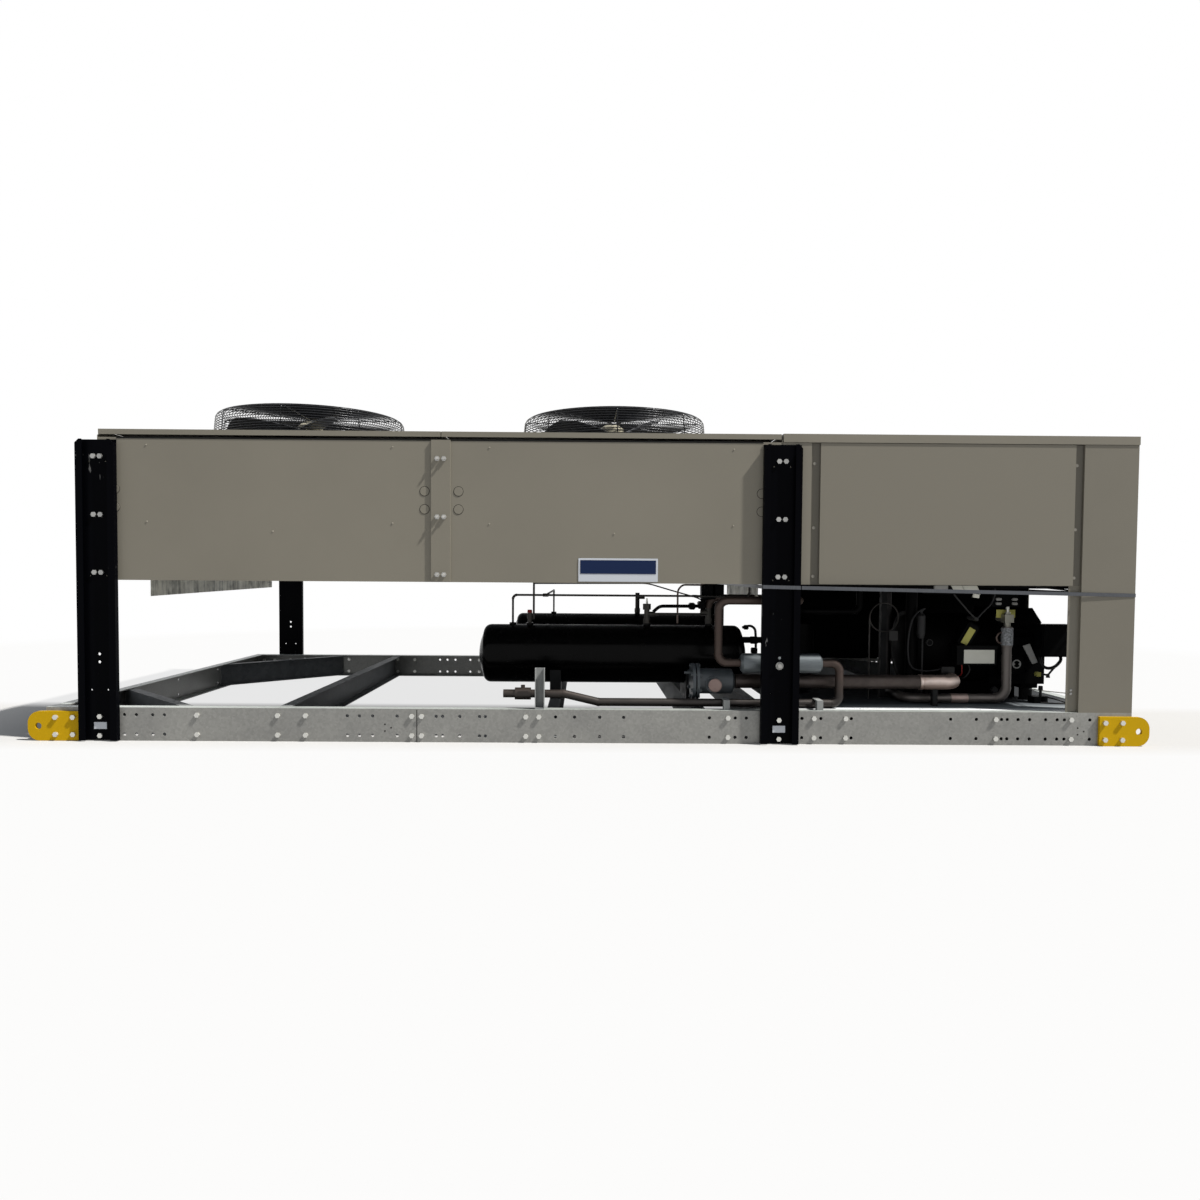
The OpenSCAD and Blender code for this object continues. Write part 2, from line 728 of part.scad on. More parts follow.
module fan_rotor() {
    rod_z(shaft_r, motor_z[1] - 55, hub_z[0] + 20, 0, 0);
    rod_z(hub_r, hub_z[0], hub_z[1], 0, 0);
    intersection() {
        translate([0, 0, hub_z[1] - 45]) sphere(r = 80);
        rod_z(hub_r, hub_z[1], hub_z[1] + 60, 0, 0);
    }
    for (i = [0 : fan_blades - 1]) rotate(i * 360 / fan_blades) blade();
}

module rotor_front_left() color([0.55, 0.56, 0.57]) translate([fan_x[0], fan_y[0], 0]) fan_rotor();

module rotor_front_right() color([0.55, 0.56, 0.57]) translate([fan_x[1], fan_y[0], 0]) fan_rotor();

module rotor_rear_left() color([0.55, 0.56, 0.57]) translate([fan_x[0], fan_y[1], 0]) fan_rotor();

module rotor_rear_right() color([0.55, 0.56, 0.57]) translate([fan_x[1], fan_y[1], 0]) fan_rotor();

// ---------- receivers ----------
module receiver(x0, y, bosses) {
    head = 56;
    knuckle = 34;
    translate([x0, y, receiver_z]) rotate([0, 90, 0]) {
        translate([0, 0, head]) cylinder(r = receiver_r, h = receiver_len - 2 * head, $fn = 96);
        for (end = [0, 1]) translate([0, 0, end * receiver_len]) mirror([0, 0, end]) {
            intersection() {
                translate([0, 0, 250]) sphere(r = 250, $fn = 96);
                cylinder(r = receiver_r - 25, h = head);
            }
            rotate_extrude($fn = 96) intersection() {
                translate([receiver_r - knuckle, head]) circle(r = knuckle);
                square([receiver_r, head]);
            }
            translate([0, 0, 28]) cylinder(r = receiver_r - knuckle + 1, h = head - 28);
        }
    }
    for (x = bosses) rod_z(16, receiver_z + receiver_r - 14, boss_z, x, y);
}

module receiver_front() color(black) receiver(receiver_x0, receiver_y, front_bosses);

module receiver_rear() color(black) receiver(rear_receiver_x0, rear_receiver_y, rear_bosses);

module receiver_valves() color([0.62, 0.58, 0.48]) {
    // relief valve with its cap, king valve, angle valve, rear inlet valve
    translate([-291, receiver_y, boss_z]) {
        rod_z(10, 0, 18, 0, 0);
        rod_z(13, 18, 34, 0, 0);
        rod_z(10, 34, 46, 0, 0);
        rod_x(6, 0, 13, 0, 25);
    }
    translate([king_x, receiver_y, boss_z]) difference() {
        union() {
            cylinder(r = 17, h = 22, $fn = 6);
            rod_z(13, 22, 64, 0, 0);
            cylinder_hex(19, 64, 92);
            rod_x(11, 0, 40, 0, 44);
        }
        rod_z(5.05, 60, 93, 0, 0);
    }
    translate([557, receiver_y, boss_z]) {
        cylinder_hex(17, 0, 24);
        rod_z(14, 24, 74, 0, 0);
        rod_x(15, -38, 0, 0, 52);
    }
    translate([290, rear_receiver_y, boss_z]) {
        cylinder_hex(17, 0, 24);
        rod_z(13, 24, 118, 0, 0);
        rod_x(10, 0, 44, 0, 90);
    }
}

module cylinder_hex(r, z0, z1) {
    translate([0, 0, z0]) cylinder(r = r, h = z1 - z0, $fn = 6);
}

module receiver_stem() color([0.6, 0.6, 0.6]) translate([king_x, receiver_y, boss_z]) {
    rod_z(5, 66, 104, 0, 0);
    slab([-4, -4, 104], [4, 4, 118]);
}

// ---------- compressor ----------
module compressor_body() color(black) {
    translate([0, comp_y, 0]) {
        rod_x(barrel_r, barrel_x[0], barrel_x[1], 0, shaft_z);
        rod_x(barrel_r + 8, barrel_x[0] - 14, barrel_x[0] + 6, 0, shaft_z);
        intersection() {
            translate([barrel_x[0] + 300, 0, shaft_z]) sphere(r = 350, $fn = 96);
            rod_x(barrel_r - 6, barrel_x[0] - 60, barrel_x[0], 0, shaft_z);
        }
        slab([case_x[0], -150, 215], [case_x[1], 150, shaft_z + 60]);
        rod_x(118, case_x[1], case_x[1] + 16, 0, shaft_z - 20);
        rod_x(70, case_x[1] + 16, case_x[1] + 40, 0, shaft_z - 20);
        for (s = [-1, 1]) bank(s);
        rod_y(72, -186, -150, pump_x, pump_z);
        for (a = [22 : 45 : 337])
            rod_y(6, -192, -186, pump_x + 60 * cos(a), pump_z + 60 * sin(a));
        slab([1670, -166, 325], [1815, -100, 385]);
        rod_y(40, -166, -60, suction_x, suction_z);
        for (x = [1560, 2000], y = [-140, 80]) slab([x, y, 195], [x + 80, y + 60, 260]);
    }
}

// Inclined cylinder bank; its cover is a separate piece
module bank(s) {
    translate([case_x[0] + 20, 0, shaft_z]) rotate([-s * 38, 0, 0])
        slab([0, -62, 40], [215, 62, 165]);
}

module compressor_heads() color([0.1, 0.1, 0.11]) translate([0, comp_y, 0])
    for (s = [-1, 1]) translate([case_x[0] + 20, 0, shaft_z]) rotate([-s * 38, 0, 0]) {
        slab([-4, -66, 165], [219, 66, 178]);
        slab([8, -52, 178], [207, 52, 206]);
        for (x = [4, 107, 211], y = [-59, 59])
            translate([x, y, 178]) cylinder(r = 8, h = 7, $fn = 6);
        // flange boss for the discharge valve
        if (s < 0) rotate([s * 38, 0, 0]) rod_y(22, -172, -115, valve_x - case_x[0] - 20, 522 - shaft_z);
    }

module compressor_mounts() color([0.15, 0.15, 0.16]) {
    for (x = [1560, 2000], y = [-140, 80]) translate([x + 40, comp_y + y + 30, 0]) {
        rod_z(28, deck_z + deck_t, 195, 0, 0);
    }
}

module electrical_boxes() color([0.14, 0.15, 0.15]) {
    // motor terminal box
    slab([1654, comp_y - 246, 312], [1834, comp_y - 166, 388]);
    slab([1650, comp_y - 252, 388], [1838, comp_y - 166, 400]);
    // junction box under the control box
    slab([1468, -1000, 634], [1657, -940, casing_z0 - 12]);
    // pressure control box on its bracket from the crankcase
    slab([2030, -900, 352], [2172, -832, 498]);
    slab([2036, -906, 358], [2166, -900, 492]);
    slab([2056, -832, 376], [2098, comp_y - 150, 420]);
    // heater relay and its socket on the deck
    slab([2014, -880, deck_z + deck_t], [2045, -820, 168]);
    rod_z(21, deck_z + deck_t, 169, 2068, -850);
}

module service_valves() color([0.66, 0.58, 0.42]) {
    // discharge valve in front of the front head
    difference() {
        union() {
            slab([valve_x - 20, valve_y - 19, 506], [valve_x + 20, valve_y + 19, 542]);
            rod_z(14, 487, 506, valve_x, valve_y);
            rod_z(12, 542, 554, valve_x, valve_y);
            rod_y(15, valve_y + 19, comp_y - 172, valve_x, 522);
        }
        rod_z(6.05, 524, 555, valve_x, valve_y);
    }
    // suction valve on the motor barrel
    rod_y(34, -880, comp_y - 166, suction_x, suction_z);
    slab([suction_x - 30, -862, 268], [suction_x + 30, -826, 300]);
}

module discharge_stem() color([0.85, 0.85, 0.8]) translate([valve_x, valve_y, 0]) {
    rod_z(6, 528, 566, 0, 0);
    slab([-5, -5, 566], [5, 5, 577]);
}

module oil_regulator() color([0.2, 0.2, 0.2]) translate([pump_x, comp_y - 186, pump_z]) {
    rod_y(41, -26, 0, 0, 0);
    rod_y(34, -32, -26, 0, 0);
    rod_y(21, -36, -32, 0, 0);
}

module accumulator() color(black) {
    translate([1010, -543, 0]) {
        rod_z(60, deck_z + deck_t, 158, 0, 0);
        rod_z(85, 158, 470, 0, 0);
        intersection() {
            translate([0, 0, 400]) sphere(r = 115);
            rod_z(85, 470, 530, 0, 0);
        }
    }
    // insulated outlet up into the control box's floor
    pipe([[1010, -543, 500], [1010, -543, 550], [947, -543, 550], [947, -843, 550], [1221, -843, 550],
        [1221, -843, casing_z0 - 12]], 13.5, 30);
    // insulated riser beside the compressor
    rod_z(25, deck_z + deck_t, casing_z0 - 12, 1475, -805);
}

// ---------- piping ----------
module suction_filter() color([0.33, 0.36, 0.38]) translate([0, suction_y, suction_z]) {
    translate([459, 0, 0]) rotate([0, 90, 0]) rotate_extrude() {
        square([78, 13]);
        square([56, 150]);
        intersection() {
            translate([0, 74]) circle(r = 101);
            translate([0, 149]) square([56, 40]);
        }
    }
    // side connection: a collar on the shell, then the stub that the field pipe goes over
    rod_y(36, -66, -30, stub_x, stub_dz);
    rod_y(30, -96, -66, stub_x, stub_dz);
    for (a = [0 : 60 : 300]) rotate([a, 0, 0]) translate([471, 0, 68]) rotate([0, 90, 0])
        cylinder(r = 8, h = 9, $fn = 6);
}

module filter_cover() color([0.33, 0.36, 0.38]) translate([0, suction_y, suction_z]) {
    rod_x(78, 441, 454, 0, 0);
    for (a = [0 : 60 : 300]) rotate([a, 0, 0]) translate([454, 0, 68]) rotate([0, 90, 0])
        cylinder(r = 5, h = 5);
    for (a = [0 : 60 : 300]) rotate([a, 0, 0]) translate([433, 0, 68]) rotate([0, 90, 0])
        cylinder(r = 8, h = 8, $fn = 6);
    rod_x(7, 410, 441, 0, 36);
}

module suction_line() color(copper)
    pipe([[634, suction_y, suction_z], [suction_x, suction_y, suction_z],
        [suction_x, -880, suction_z]], suction_r, 70);

module discharge_line() color(copper) {
    pipe([[valve_x, valve_y, 391], [valve_x, valve_y, 162], [1420, valve_y, 162], [1420, -643, 162],
        [1420, -643, casing_z0 - 12]], discharge_r, 52);
    // vibration absorber: a sleeve that tapers down to the pipe
    translate([valve_x, valve_y, 391]) cylinder(r1 = discharge_r, r2 = 25, h = 14);
    rod_z(25, 405, 481, valve_x, valve_y);
    rod_z(22, 481, 487, valve_x, valve_y);
}

module liquid_line() color(copper) {
    // receiver outlet to the drier
    z = high_line_z;
    pipe([[557, receiver_y, boss_z + 74], [557, receiver_y, z], [900, receiver_y, z], [900, drier_y, z],
        [545, drier_y, z], [545, drier_y, drier_z], [drier_x[0], drier_y, drier_z]], liquid_r, 40);
    // drier to the outlet valve at the left
    pipe([[drier_x[1], drier_y, drier_z], [1070, drier_y, drier_z], [1070, low_line_y, low_line_z],
        [30, low_line_y, low_line_z], [-120, low_line_y, 195], [-380, low_line_y, 195]], liquid_r, 34);
    // body of the outlet ball valve
    rod_x(26, -330, -262, low_line_y, 195);
    rod_z(9, 195, 232, -296, low_line_y);
}

module filter_drier() color([0.75, 0.77, 0.78]) translate([0, drier_y, drier_z]) rotate([0, 90, 0]) {
    end = 10;
    translate([0, 0, drier_x[0]]) cylinder(r1 = 30, r2 = 42, h = end);
    translate([0, 0, drier_x[0] + end]) cylinder(r = 42, h = drier_x[1] - drier_x[0] - 2 * end);
    translate([0, 0, drier_x[1] - end]) cylinder(r1 = 42, r2 = 30, h = end);
}

module small_lines() color(copper) {
    y = receiver_y;
    z = 610;
    pipe([[-372, y, boss_z], [-372, y, z], [500, y, z], [500, -720, z], [coil_x[1] + 30, -720, z],
        [coil_x[1] + 30, -720, 690]], thin_r, 20);
    pipe([[-217, rear_receiver_y, boss_z], [-217, rear_receiver_y, z], [-217, y + 2, z]], thin_r, 16);
    rod_x(thin_r + 3, -230, -204, y, z);
    rod_z(thin_r, 495, coil_z[0], -273, y);
    rod_x(thin_r + 1, 304, 519, y, boss_z + 44);
    // coiled pressure line
    translate([1365, -760, 519]) rotate([90, 0, 0]) rotate_extrude()
        translate([67, 0]) circle(r = 3.5, $fn = 16);
    rod_z(3.5, deck_z + deck_t, 519, 1298, -760);
}

module equipment_supports() color(zinc) {
    for (x = [member_x[1], member_x[2]]) {
        saddle(x, receiver_y);
        saddle(x, rear_receiver_y);
    }
    // posts and clamps along the front rail
    difference() {
        slab([-240, -half_w + 8, rail_h], [-200, -half_w + 46, 312]);
        slab([-237, -half_w + 7, rail_h + 6], [-203, -half_w + 43, 313]);
    }
    for (x = [560, 957]) {
        slab([x, -half_w + 20, rail_h], [x + 26, -half_w + 46, low_line_z + liquid_r + 4]);
        slab([x, -half_w + 46, low_line_z + liquid_r], [x + 26, low_line_y + 12, low_line_z + liquid_r + 4]);
    }
    // strut up to the control section, and the prop under the suction line
    slab([1368, -715, deck_z + deck_t], [1394, -687, casing_z0 - 12]);
    slab([1510, suction_y - 12, deck_z + deck_t], [1532, suction_y + 12, suction_z - suction_r]);
}

module saddle(x, y) {
    along_x(x, x + member_flange) difference() {
        translate([y - 120, deck_z]) square([240, receiver_z - deck_z - 30]);
        translate([y, receiver_z]) circle(r = receiver_r + 0.1, $fn = 96);
    }
}

// Steel band round the compressor bay, over the middle legs and the corner posts
module strapping_band() color([0.35, 0.36, 0.38]) {
    gap = 1.5;
    front = -half_w - leg_d - gap;
    left = front_legs[1] - leg_w / 2 - gap;
    rear_left = rear_legs[1] - leg_w / 2 - gap;
    right = half_l + gap;
    band_run([left, front, 656], [left + leg_w + 2 * gap, front, 653]);
    band_run([left + leg_w + 2 * gap, front, 653], [right, -half_w - gap, 630]);
    band_run([right + 1, -half_w - gap, 630], [right + 1, half_w + gap, 634]);
    band_run([rear_left, -front - 1, 656], [rear_left + leg_w + 2 * gap, -front - 1, 654]);
    band_run([rear_left + leg_w + 2 * gap, -front - 1, 654], [right, half_w + gap - 1, 634]);
    band_run([left, front, 656], [rear_left, -front - 1, 656]);
}

module band_run(a, b) {
    t = 1;
    h = 15;
    d = b - a;
    flat = norm([d[0], d[1]]) - 2;
    translate(a) rotate([0, 0, atan2(d[1], d[0])]) along_y(0, t)
        polygon([[2, 0], [flat, d[2]], [flat, d[2] + h], [2, h]]);
}

front_rail_left();
front_rail_right();
rear_rails();
end_rails();
cross_members();
corner_braces();
lifting_lugs();
hex_bolts();
compressor_deck();
leg_front_left();
leg_front_mid();
leg_rear_left();
leg_rear_mid();
corner_posts();
bay_panels();
bay_liner();
control_box();
control_cover();
cover_screws();
control_roof();
control_gear();
front_panel_left();
front_panel_right();
rear_panels();
side_panels();
roof_left();
roof_right();
joint_straps();
coil_fins();
tube_sheets();
coil_tubing();
fan_guards_front();
fan_guards_rear();
fan_motors();
motor_mounts();
rotor_front_left();
rotor_front_right();
rotor_rear_left();
rotor_rear_right();
receiver_front();
receiver_rear();
receiver_valves();
receiver_stem();
compressor_body();
compressor_heads();
compressor_mounts();
electrical_boxes();
service_valves();
discharge_stem();
oil_regulator();
accumulator();
suction_filter();
filter_cover();
suction_line();
discharge_line();
liquid_line();
filter_drier();
small_lines();
equipment_supports();
strapping_band();
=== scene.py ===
"""Look of the refrigeration condensing unit.

Materials, small fittings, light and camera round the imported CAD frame. Metres, unless a name or a
docstring says mm.
"""
import json
import math

import bmesh
import bpy
from mathutils import Euler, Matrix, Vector


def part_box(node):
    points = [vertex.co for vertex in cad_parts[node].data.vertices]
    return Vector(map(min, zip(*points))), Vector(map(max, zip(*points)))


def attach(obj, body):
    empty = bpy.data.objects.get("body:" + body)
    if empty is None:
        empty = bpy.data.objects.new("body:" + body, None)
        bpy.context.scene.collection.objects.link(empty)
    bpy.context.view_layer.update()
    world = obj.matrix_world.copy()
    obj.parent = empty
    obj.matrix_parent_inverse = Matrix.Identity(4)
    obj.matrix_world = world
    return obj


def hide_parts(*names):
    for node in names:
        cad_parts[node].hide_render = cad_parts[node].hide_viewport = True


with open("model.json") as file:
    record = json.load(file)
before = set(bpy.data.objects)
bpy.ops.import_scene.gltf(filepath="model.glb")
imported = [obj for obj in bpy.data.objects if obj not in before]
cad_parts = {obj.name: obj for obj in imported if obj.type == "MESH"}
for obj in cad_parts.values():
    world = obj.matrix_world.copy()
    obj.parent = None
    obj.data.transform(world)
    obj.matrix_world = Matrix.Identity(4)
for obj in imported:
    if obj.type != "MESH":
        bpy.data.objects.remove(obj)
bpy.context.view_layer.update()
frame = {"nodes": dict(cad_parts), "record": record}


# ---------------------------------------------------------------- places read from the frame
def lo(name):
    """Lowest corner of a CAD node."""
    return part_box(name)[0]


def hi(name):
    """Highest corner of a CAD node."""
    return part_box(name)[1]


def centre_of(name):
    return (lo(name) + hi(name)) / 2


MM = 0.001
JOINT_MID = centre_of("joint_straps")[0]
LEG_LEFT = centre_of("leg_front_left")[0]
LEG_MID = centre_of("leg_front_mid")[0]
# outer faces of the condenser's panels, which stand the same way round the middle
FRONT = lo("front_panel_left")[1]
REAR = -FRONT
PANEL_BOTTOM = lo("front_panel_left")[2]
PANEL_TOP = hi("front_panel_left")[2]
RAIL_TOP = hi("front_rail_left")[2]
VALVE = centre_of("discharge_stem")
FAN_X = (centre_of("rotor_front_left")[0], centre_of("rotor_front_right")[0])
FAN_Y = (centre_of("rotor_front_left")[1], centre_of("rotor_rear_left")[1])
FAN_SPACING = FAN_X[1] - FAN_X[0]


# ---------------------------------------------------------------- materials
WHITE = (1, 1, 1)


def shader_of(mat):
    return mat.node_tree.nodes["Principled BSDF"]


def material(name, base, rough=0.5, metal=0.0, spec=0.5):
    mat = bpy.data.materials.new(name)
    mat.use_nodes = True
    shader = shader_of(mat)
    shader.inputs["Base Color"].default_value = (*base, 1)
    shader.inputs["Roughness"].default_value = rough
    shader.inputs["Metallic"].default_value = metal
    shader.inputs["Specular IOR Level"].default_value = spec
    return mat


def node(mat, kind, **settings):
    n = mat.node_tree.nodes.new(kind)
    for key, value in settings.items():
        setattr(n, key, value)
    return n


def link(mat, source, target):
    mat.node_tree.links.new(source, target)


def scaled(mat, factor, amount, rest):
    """factor times amount plus rest, for a single value each."""
    n = node(mat, "ShaderNodeMath", operation="MULTIPLY_ADD")
    n.inputs[1].default_value = amount
    link(mat, factor, n.inputs[0])
    link(mat, rest, n.inputs[2])
    return n.outputs["Value"]


def combined(mat, operation, first, second):
    """A math node over two sockets."""
    n = node(mat, "ShaderNodeMath", operation=operation)
    link(mat, first, n.inputs[0])
    link(mat, second, n.inputs[1])
    return n.outputs["Value"]


def multiplied(mat, first, second):
    """Two colours multiplied."""
    n = node(mat, "ShaderNodeMix", data_type="RGBA", blend_type="MULTIPLY")
    n.inputs["Factor"].default_value = 1
    link(mat, first, n.inputs["A"])
    link(mat, second, n.inputs["B"])
    return n.outputs["Result"]


def map_range(mat, value, start, end, top=1.0):
    """value mapped from start..end to 0..top."""
    n = node(mat, "ShaderNodeMapRange")
    n.inputs["From Min"].default_value = start
    n.inputs["From Max"].default_value = end
    n.inputs["To Max"].default_value = top
    link(mat, value, n.inputs["Value"])
    return n.outputs["Result"]


def object_coords(mat, scale=(1, 1, 1)):
    """The object's own coordinates, each times its scale."""
    coords = node(mat, "ShaderNodeTexCoord")
    mapping = node(mat, "ShaderNodeMapping")
    mapping.inputs["Scale"].default_value = scale
    link(mat, coords.outputs["Object"], mapping.inputs["Vector"])
    return mapping.outputs["Vector"]


def ramp(mat, fac, stops):
    """stops is a list of (position, colour)."""
    n = node(mat, "ShaderNodeValToRGB")
    while len(n.color_ramp.elements) < len(stops):
        n.color_ramp.elements.new(0.5)
    for element, (position, colour) in zip(n.color_ramp.elements, stops):
        element.position = position
        element.color = (*colour, 1)
    link(mat, fac, n.inputs["Fac"])
    return n.outputs["Color"]


def noise(mat, vector, scale, detail=4, rough=0.55):
    n = node(mat, "ShaderNodeTexNoise")
    n.inputs["Scale"].default_value = scale
    n.inputs["Detail"].default_value = detail
    n.inputs["Roughness"].default_value = rough
    link(mat, vector, n.inputs["Vector"])
    return n.outputs["Fac"]


def base_colour(mat, colour):
    link(mat, colour, shader_of(mat).inputs["Base Color"])


def bump(mat, height, strength, distance):
    n = node(mat, "ShaderNodeBump")
    n.inputs["Strength"].default_value = strength
    n.inputs["Distance"].default_value = distance
    link(mat, height, n.inputs["Height"])
    link(mat, n.outputs["Normal"], shader_of(mat).inputs["Normal"])


def shade(colour, k):
    return tuple(min(1.0, c * k) for c in colour)


def grey(value):
    return (value,) * 3


def tint_by_noise(mat, base, scale, low, high, detail=4):
    """Varies the base colour between low and high times itself."""
    vector = object_coords(mat)
    clouds = noise(mat, vector, scale, detail)
    base_colour(mat, ramp(mat, clouds, [(0.3, shade(base, low)), (0.7, shade(base, high))]))
    return vector


def rough_by_noise(mat, vector, scale, low, high):
    clouds = noise(mat, vector, scale)
    roughness = ramp(mat, clouds, [(0.3, grey(low)), (0.7, grey(high))])
    link(mat, roughness, shader_of(mat).inputs["Roughness"])


def galvanized(name, base, cell, low, high, dull=0.0, metal=0.2, spec=0.3):
    """Zinc spangle: flat crystals that differ in tone and gloss, under faint clouds.

    cell is the scale of the crystals, low and high their range of tone; dull adds roughness.
    """
    mat = material(name, base, rough=0.4, metal=metal, spec=spec)
    vector = object_coords(mat)
    wobble = node(mat, "ShaderNodeTexNoise")
    wobble.inputs["Scale"].default_value = 18
    link(mat, vector, wobble.inputs["Vector"])
    bent = node(mat, "ShaderNodeVectorMath", operation="MULTIPLY_ADD")
    bent.inputs[1].default_value = grey(0.02)
    link(mat, wobble.outputs["Color"], bent.inputs[0])
    link(mat, vector, bent.inputs[2])
    cells = node(mat, "ShaderNodeTexVoronoi")
    cells.inputs["Scale"].default_value = cell
    link(mat, bent.outputs["Vector"], cells.inputs["Vector"])
    crystal = cells.outputs["Color"]
    spangle = ramp(mat, crystal, [(0.1, shade(base, low)), (0.5, base), (0.9, shade(base, high))])
    clouds = ramp(mat, noise(mat, vector, 5, 5), [(0.3, (0.82, 0.82, 0.83)), (0.7, WHITE)])
    base_colour(mat, multiplied(mat, spangle, clouds))
    gloss = ramp(mat, crystal, [(0.1, grey(0.3 + dull)), (0.9, grey(0.5 + dull))])
    link(mat, gloss, shader_of(mat).inputs["Roughness"])
    return mat


def painted_sunlit_tops(mat, gain):
    """Painted sunlight: faces that look up are paler by gain, and a little bluish, as where the sun and
    sky fall on the tops.
    """
    colour = shader_of(mat).inputs["Base Color"].links[0].from_socket
    split = node(mat, "ShaderNodeSeparateXYZ")
    link(mat, node(mat, "ShaderNodeNewGeometry").outputs["Normal"], split.inputs[0])
    tint = ramp(mat, split.outputs["Z"], [(0.6, grey(1 / gain)), (0.9, (0.92, 0.99, 1.0))])
    base_colour(mat, multiplied(mat, colour, tint))
    return mat


def enamel(name, base, rough, spec=0.3):
    """Baked cabinet paint with a faint orange peel and dust."""
    mat = material(name, base, rough=rough, spec=spec)
    vector = tint_by_noise(mat, base, 1.6, 0.95, 1.05, detail=6)
    rough_by_noise(mat, vector, 7, rough - 0.05, rough + 0.06)
    bump(mat, noise(mat, vector, 420, 2), 0.06, 0.0005)
    return mat


def black_paint(name, base, rough, spec, dust=1.0):
    """Black paint; its specular level is low, because the real coat reads almost black."""
    mat = material(name, base, rough=rough, spec=spec)
    vector = tint_by_noise(mat, base, 3.5, 0.8, 1.0 + 0.5 * dust, detail=7)
    rough_by_noise(mat, vector, 11, rough - 0.06, rough + 0.1)
    bump(mat, noise(mat, vector, 260, 2), 0.05, 0.0005)
    return mat


def scuffed_black(name, base, rough, spec):
    """Leg paint with a few upright scuffs down to a paler primer."""
    mat = black_paint(name, base, rough, spec)
    marks = noise(mat, object_coords(mat, (1, 1, 0.3)), 75, 2)
    areas = noise(mat, object_coords(mat), 4, 3)
    both = combined(mat, "MULTIPLY", marks, areas)
    stops = [(0.0, base), (0.445, shade(base, 1.2)), (0.475, grey(0.10))]
    base_colour(mat, ramp(mat, both, stops))
    return mat


def copper_tube(name, base):
    """Weathered tube: dull brown patches between brighter ones."""
    mat = material(name, base, rough=0.45, metal=0.6)
    vector = object_coords(mat)
    bright = (base[0] * 1.25, base[1] * 1.35, base[2] * 1.4)
    patches = noise(mat, vector, 9, 8, 0.65)
    base_colour(mat, ramp(mat, patches, [(0.28, shade(base, 0.45)), (0.5, base), (0.72, bright)]))
    rough_by_noise(mat, vector, 14, 0.36, 0.6)
    return mat


def cast_metal(name, base, rough, depth):
    mat = material(name, base, rough=rough, spec=0.03)
    vector = tint_by_noise(mat, base, 6, 0.7, 1.35, detail=7)
    rough_by_noise(mat, vector, 9, rough - 0.12, rough + 0.12)
    bump(mat, noise(mat, vector, 150, 4), depth, 0.001)
    return mat


def brushed(name, base, rough, stretch=(1, 1, 12), metal=0.85):
    """Metal with fine streaks across the axis that stretch is largest along."""
    mat = material(name, base, rough=rough, metal=metal)
    streaks = noise(mat, object_coords(mat, stretch), 40, 4)
    base_colour(mat, ramp(mat, streaks, [(0.3, shade(base, 0.8)), (0.7, shade(base, 1.12))]))
    return mat


def grained(name, base, rough):
    """Plain moulded or printed surface with a fine grain."""
    mat = material(name, base, rough=rough, spec=0.2)
    vector = tint_by_noise(mat, base, 9, 0.93, 1.07, detail=5)
    bump(mat, noise(mat, vector, 300, 2), 0.05, 0.0004)
    return mat


def guard_wire():
    """Black plated wire, bright where the light catches it."""
    black = (0.012, 0.013, 0.016)
    mat = material("guard_wire", black, rough=0.28, metal=0.5)
    vector = tint_by_noise(mat, black, 12, 0.7, 1.4, detail=5)
    rough_by_noise(mat, vector, 30, 0.22, 0.36)
    return mat


def fan_finish(name, axis_x, axis_y):
    """Dark blades with a cream painted hub about the fan's own axis."""
    dark = (0.075, 0.078, 0.085)
    cream = (0.50, 0.47, 0.36)
    hub = 0.066
    mat = material(name, dark, rough=0.42, metal=0.5)
    away = node(mat, "ShaderNodeVectorMath", operation="DISTANCE")
    away.inputs[1].default_value = (axis_x, axis_y, 0)
    flat = object_coords(mat, (1, 1, 0))
    link(mat, flat, away.inputs[0])
    radius = scaled(mat, noise(mat, flat, 60, 4), 0.004, away.outputs["Value"])
    base_colour(mat, ramp(mat, radius, [
        (hub, cream), (hub + 0.006, dark), (0.3, shade(dark, 1.4)), (0.42, shade(dark, 0.9))]))
    return mat


def along_axis(mat, axis, start, length, stops, border_noise=0.06, scale=8):
    """A ramp of colours from start over length along one axis, its borders broken up by noise."""
    split = node(mat, "ShaderNodeSeparateXYZ")
    link(mat, object_coords(mat), split.inputs[0])
    inward = map_range(mat, split.outputs[axis], start, start + length)
    clouds = noise(mat, object_coords(mat), scale, 5)
    base_colour(mat, ramp(mat, scaled(mat, clouds, border_noise, inward), stops))
    return mat


def service_brass():
    """Valve bodies: clean grey brass above, near black lower down on the motor barrel."""
    mat = copper_tube("valve_brass", (0.27, 0.265, 0.22))
    return along_axis(mat, "Z", 0, 1, [
        (0.36, grey(0.006)), (0.42, (0.06, 0.058, 0.05)), (0.47, (0.20, 0.195, 0.165)),
        (0.6, (0.27, 0.265, 0.225))], 0.08, 30)


def fin_stock():
    """Coil face: fine upright fins drawn as a wave along the coil, pale fins with painted shade in the
    gaps between them.
    """
    mat = material("fins", (0.62, 0.64, 0.65), rough=0.45, metal=0.7)
    wave = node(mat, "ShaderNodeTexWave", wave_type="BANDS", bands_direction="X")
    wave.inputs["Scale"].default_value = 90
    link(mat, object_coords(mat), wave.inputs["Vector"])
    stops = [(0.2, (0.10, 0.11, 0.12)), (0.8, (0.66, 0.68, 0.70))]
    base_colour(mat, ramp(mat, wave.outputs["Fac"], stops))
    bump(mat, wave.outputs["Fac"], 0.6, 0.002)
    return mat


def paint_with_shaded_recesses(name, base, rough):
    """Cabinet paint that is darker and greyer in the screw recesses behind the cover's face: painted
    shade.
    """
    stops = [(0.0, base), (0.04, base), (0.6, shade(base, 0.62))]
    return along_axis(enamel(name, base, rough), "Y", FRONT + 4 * MM, 9 * MM, stops)


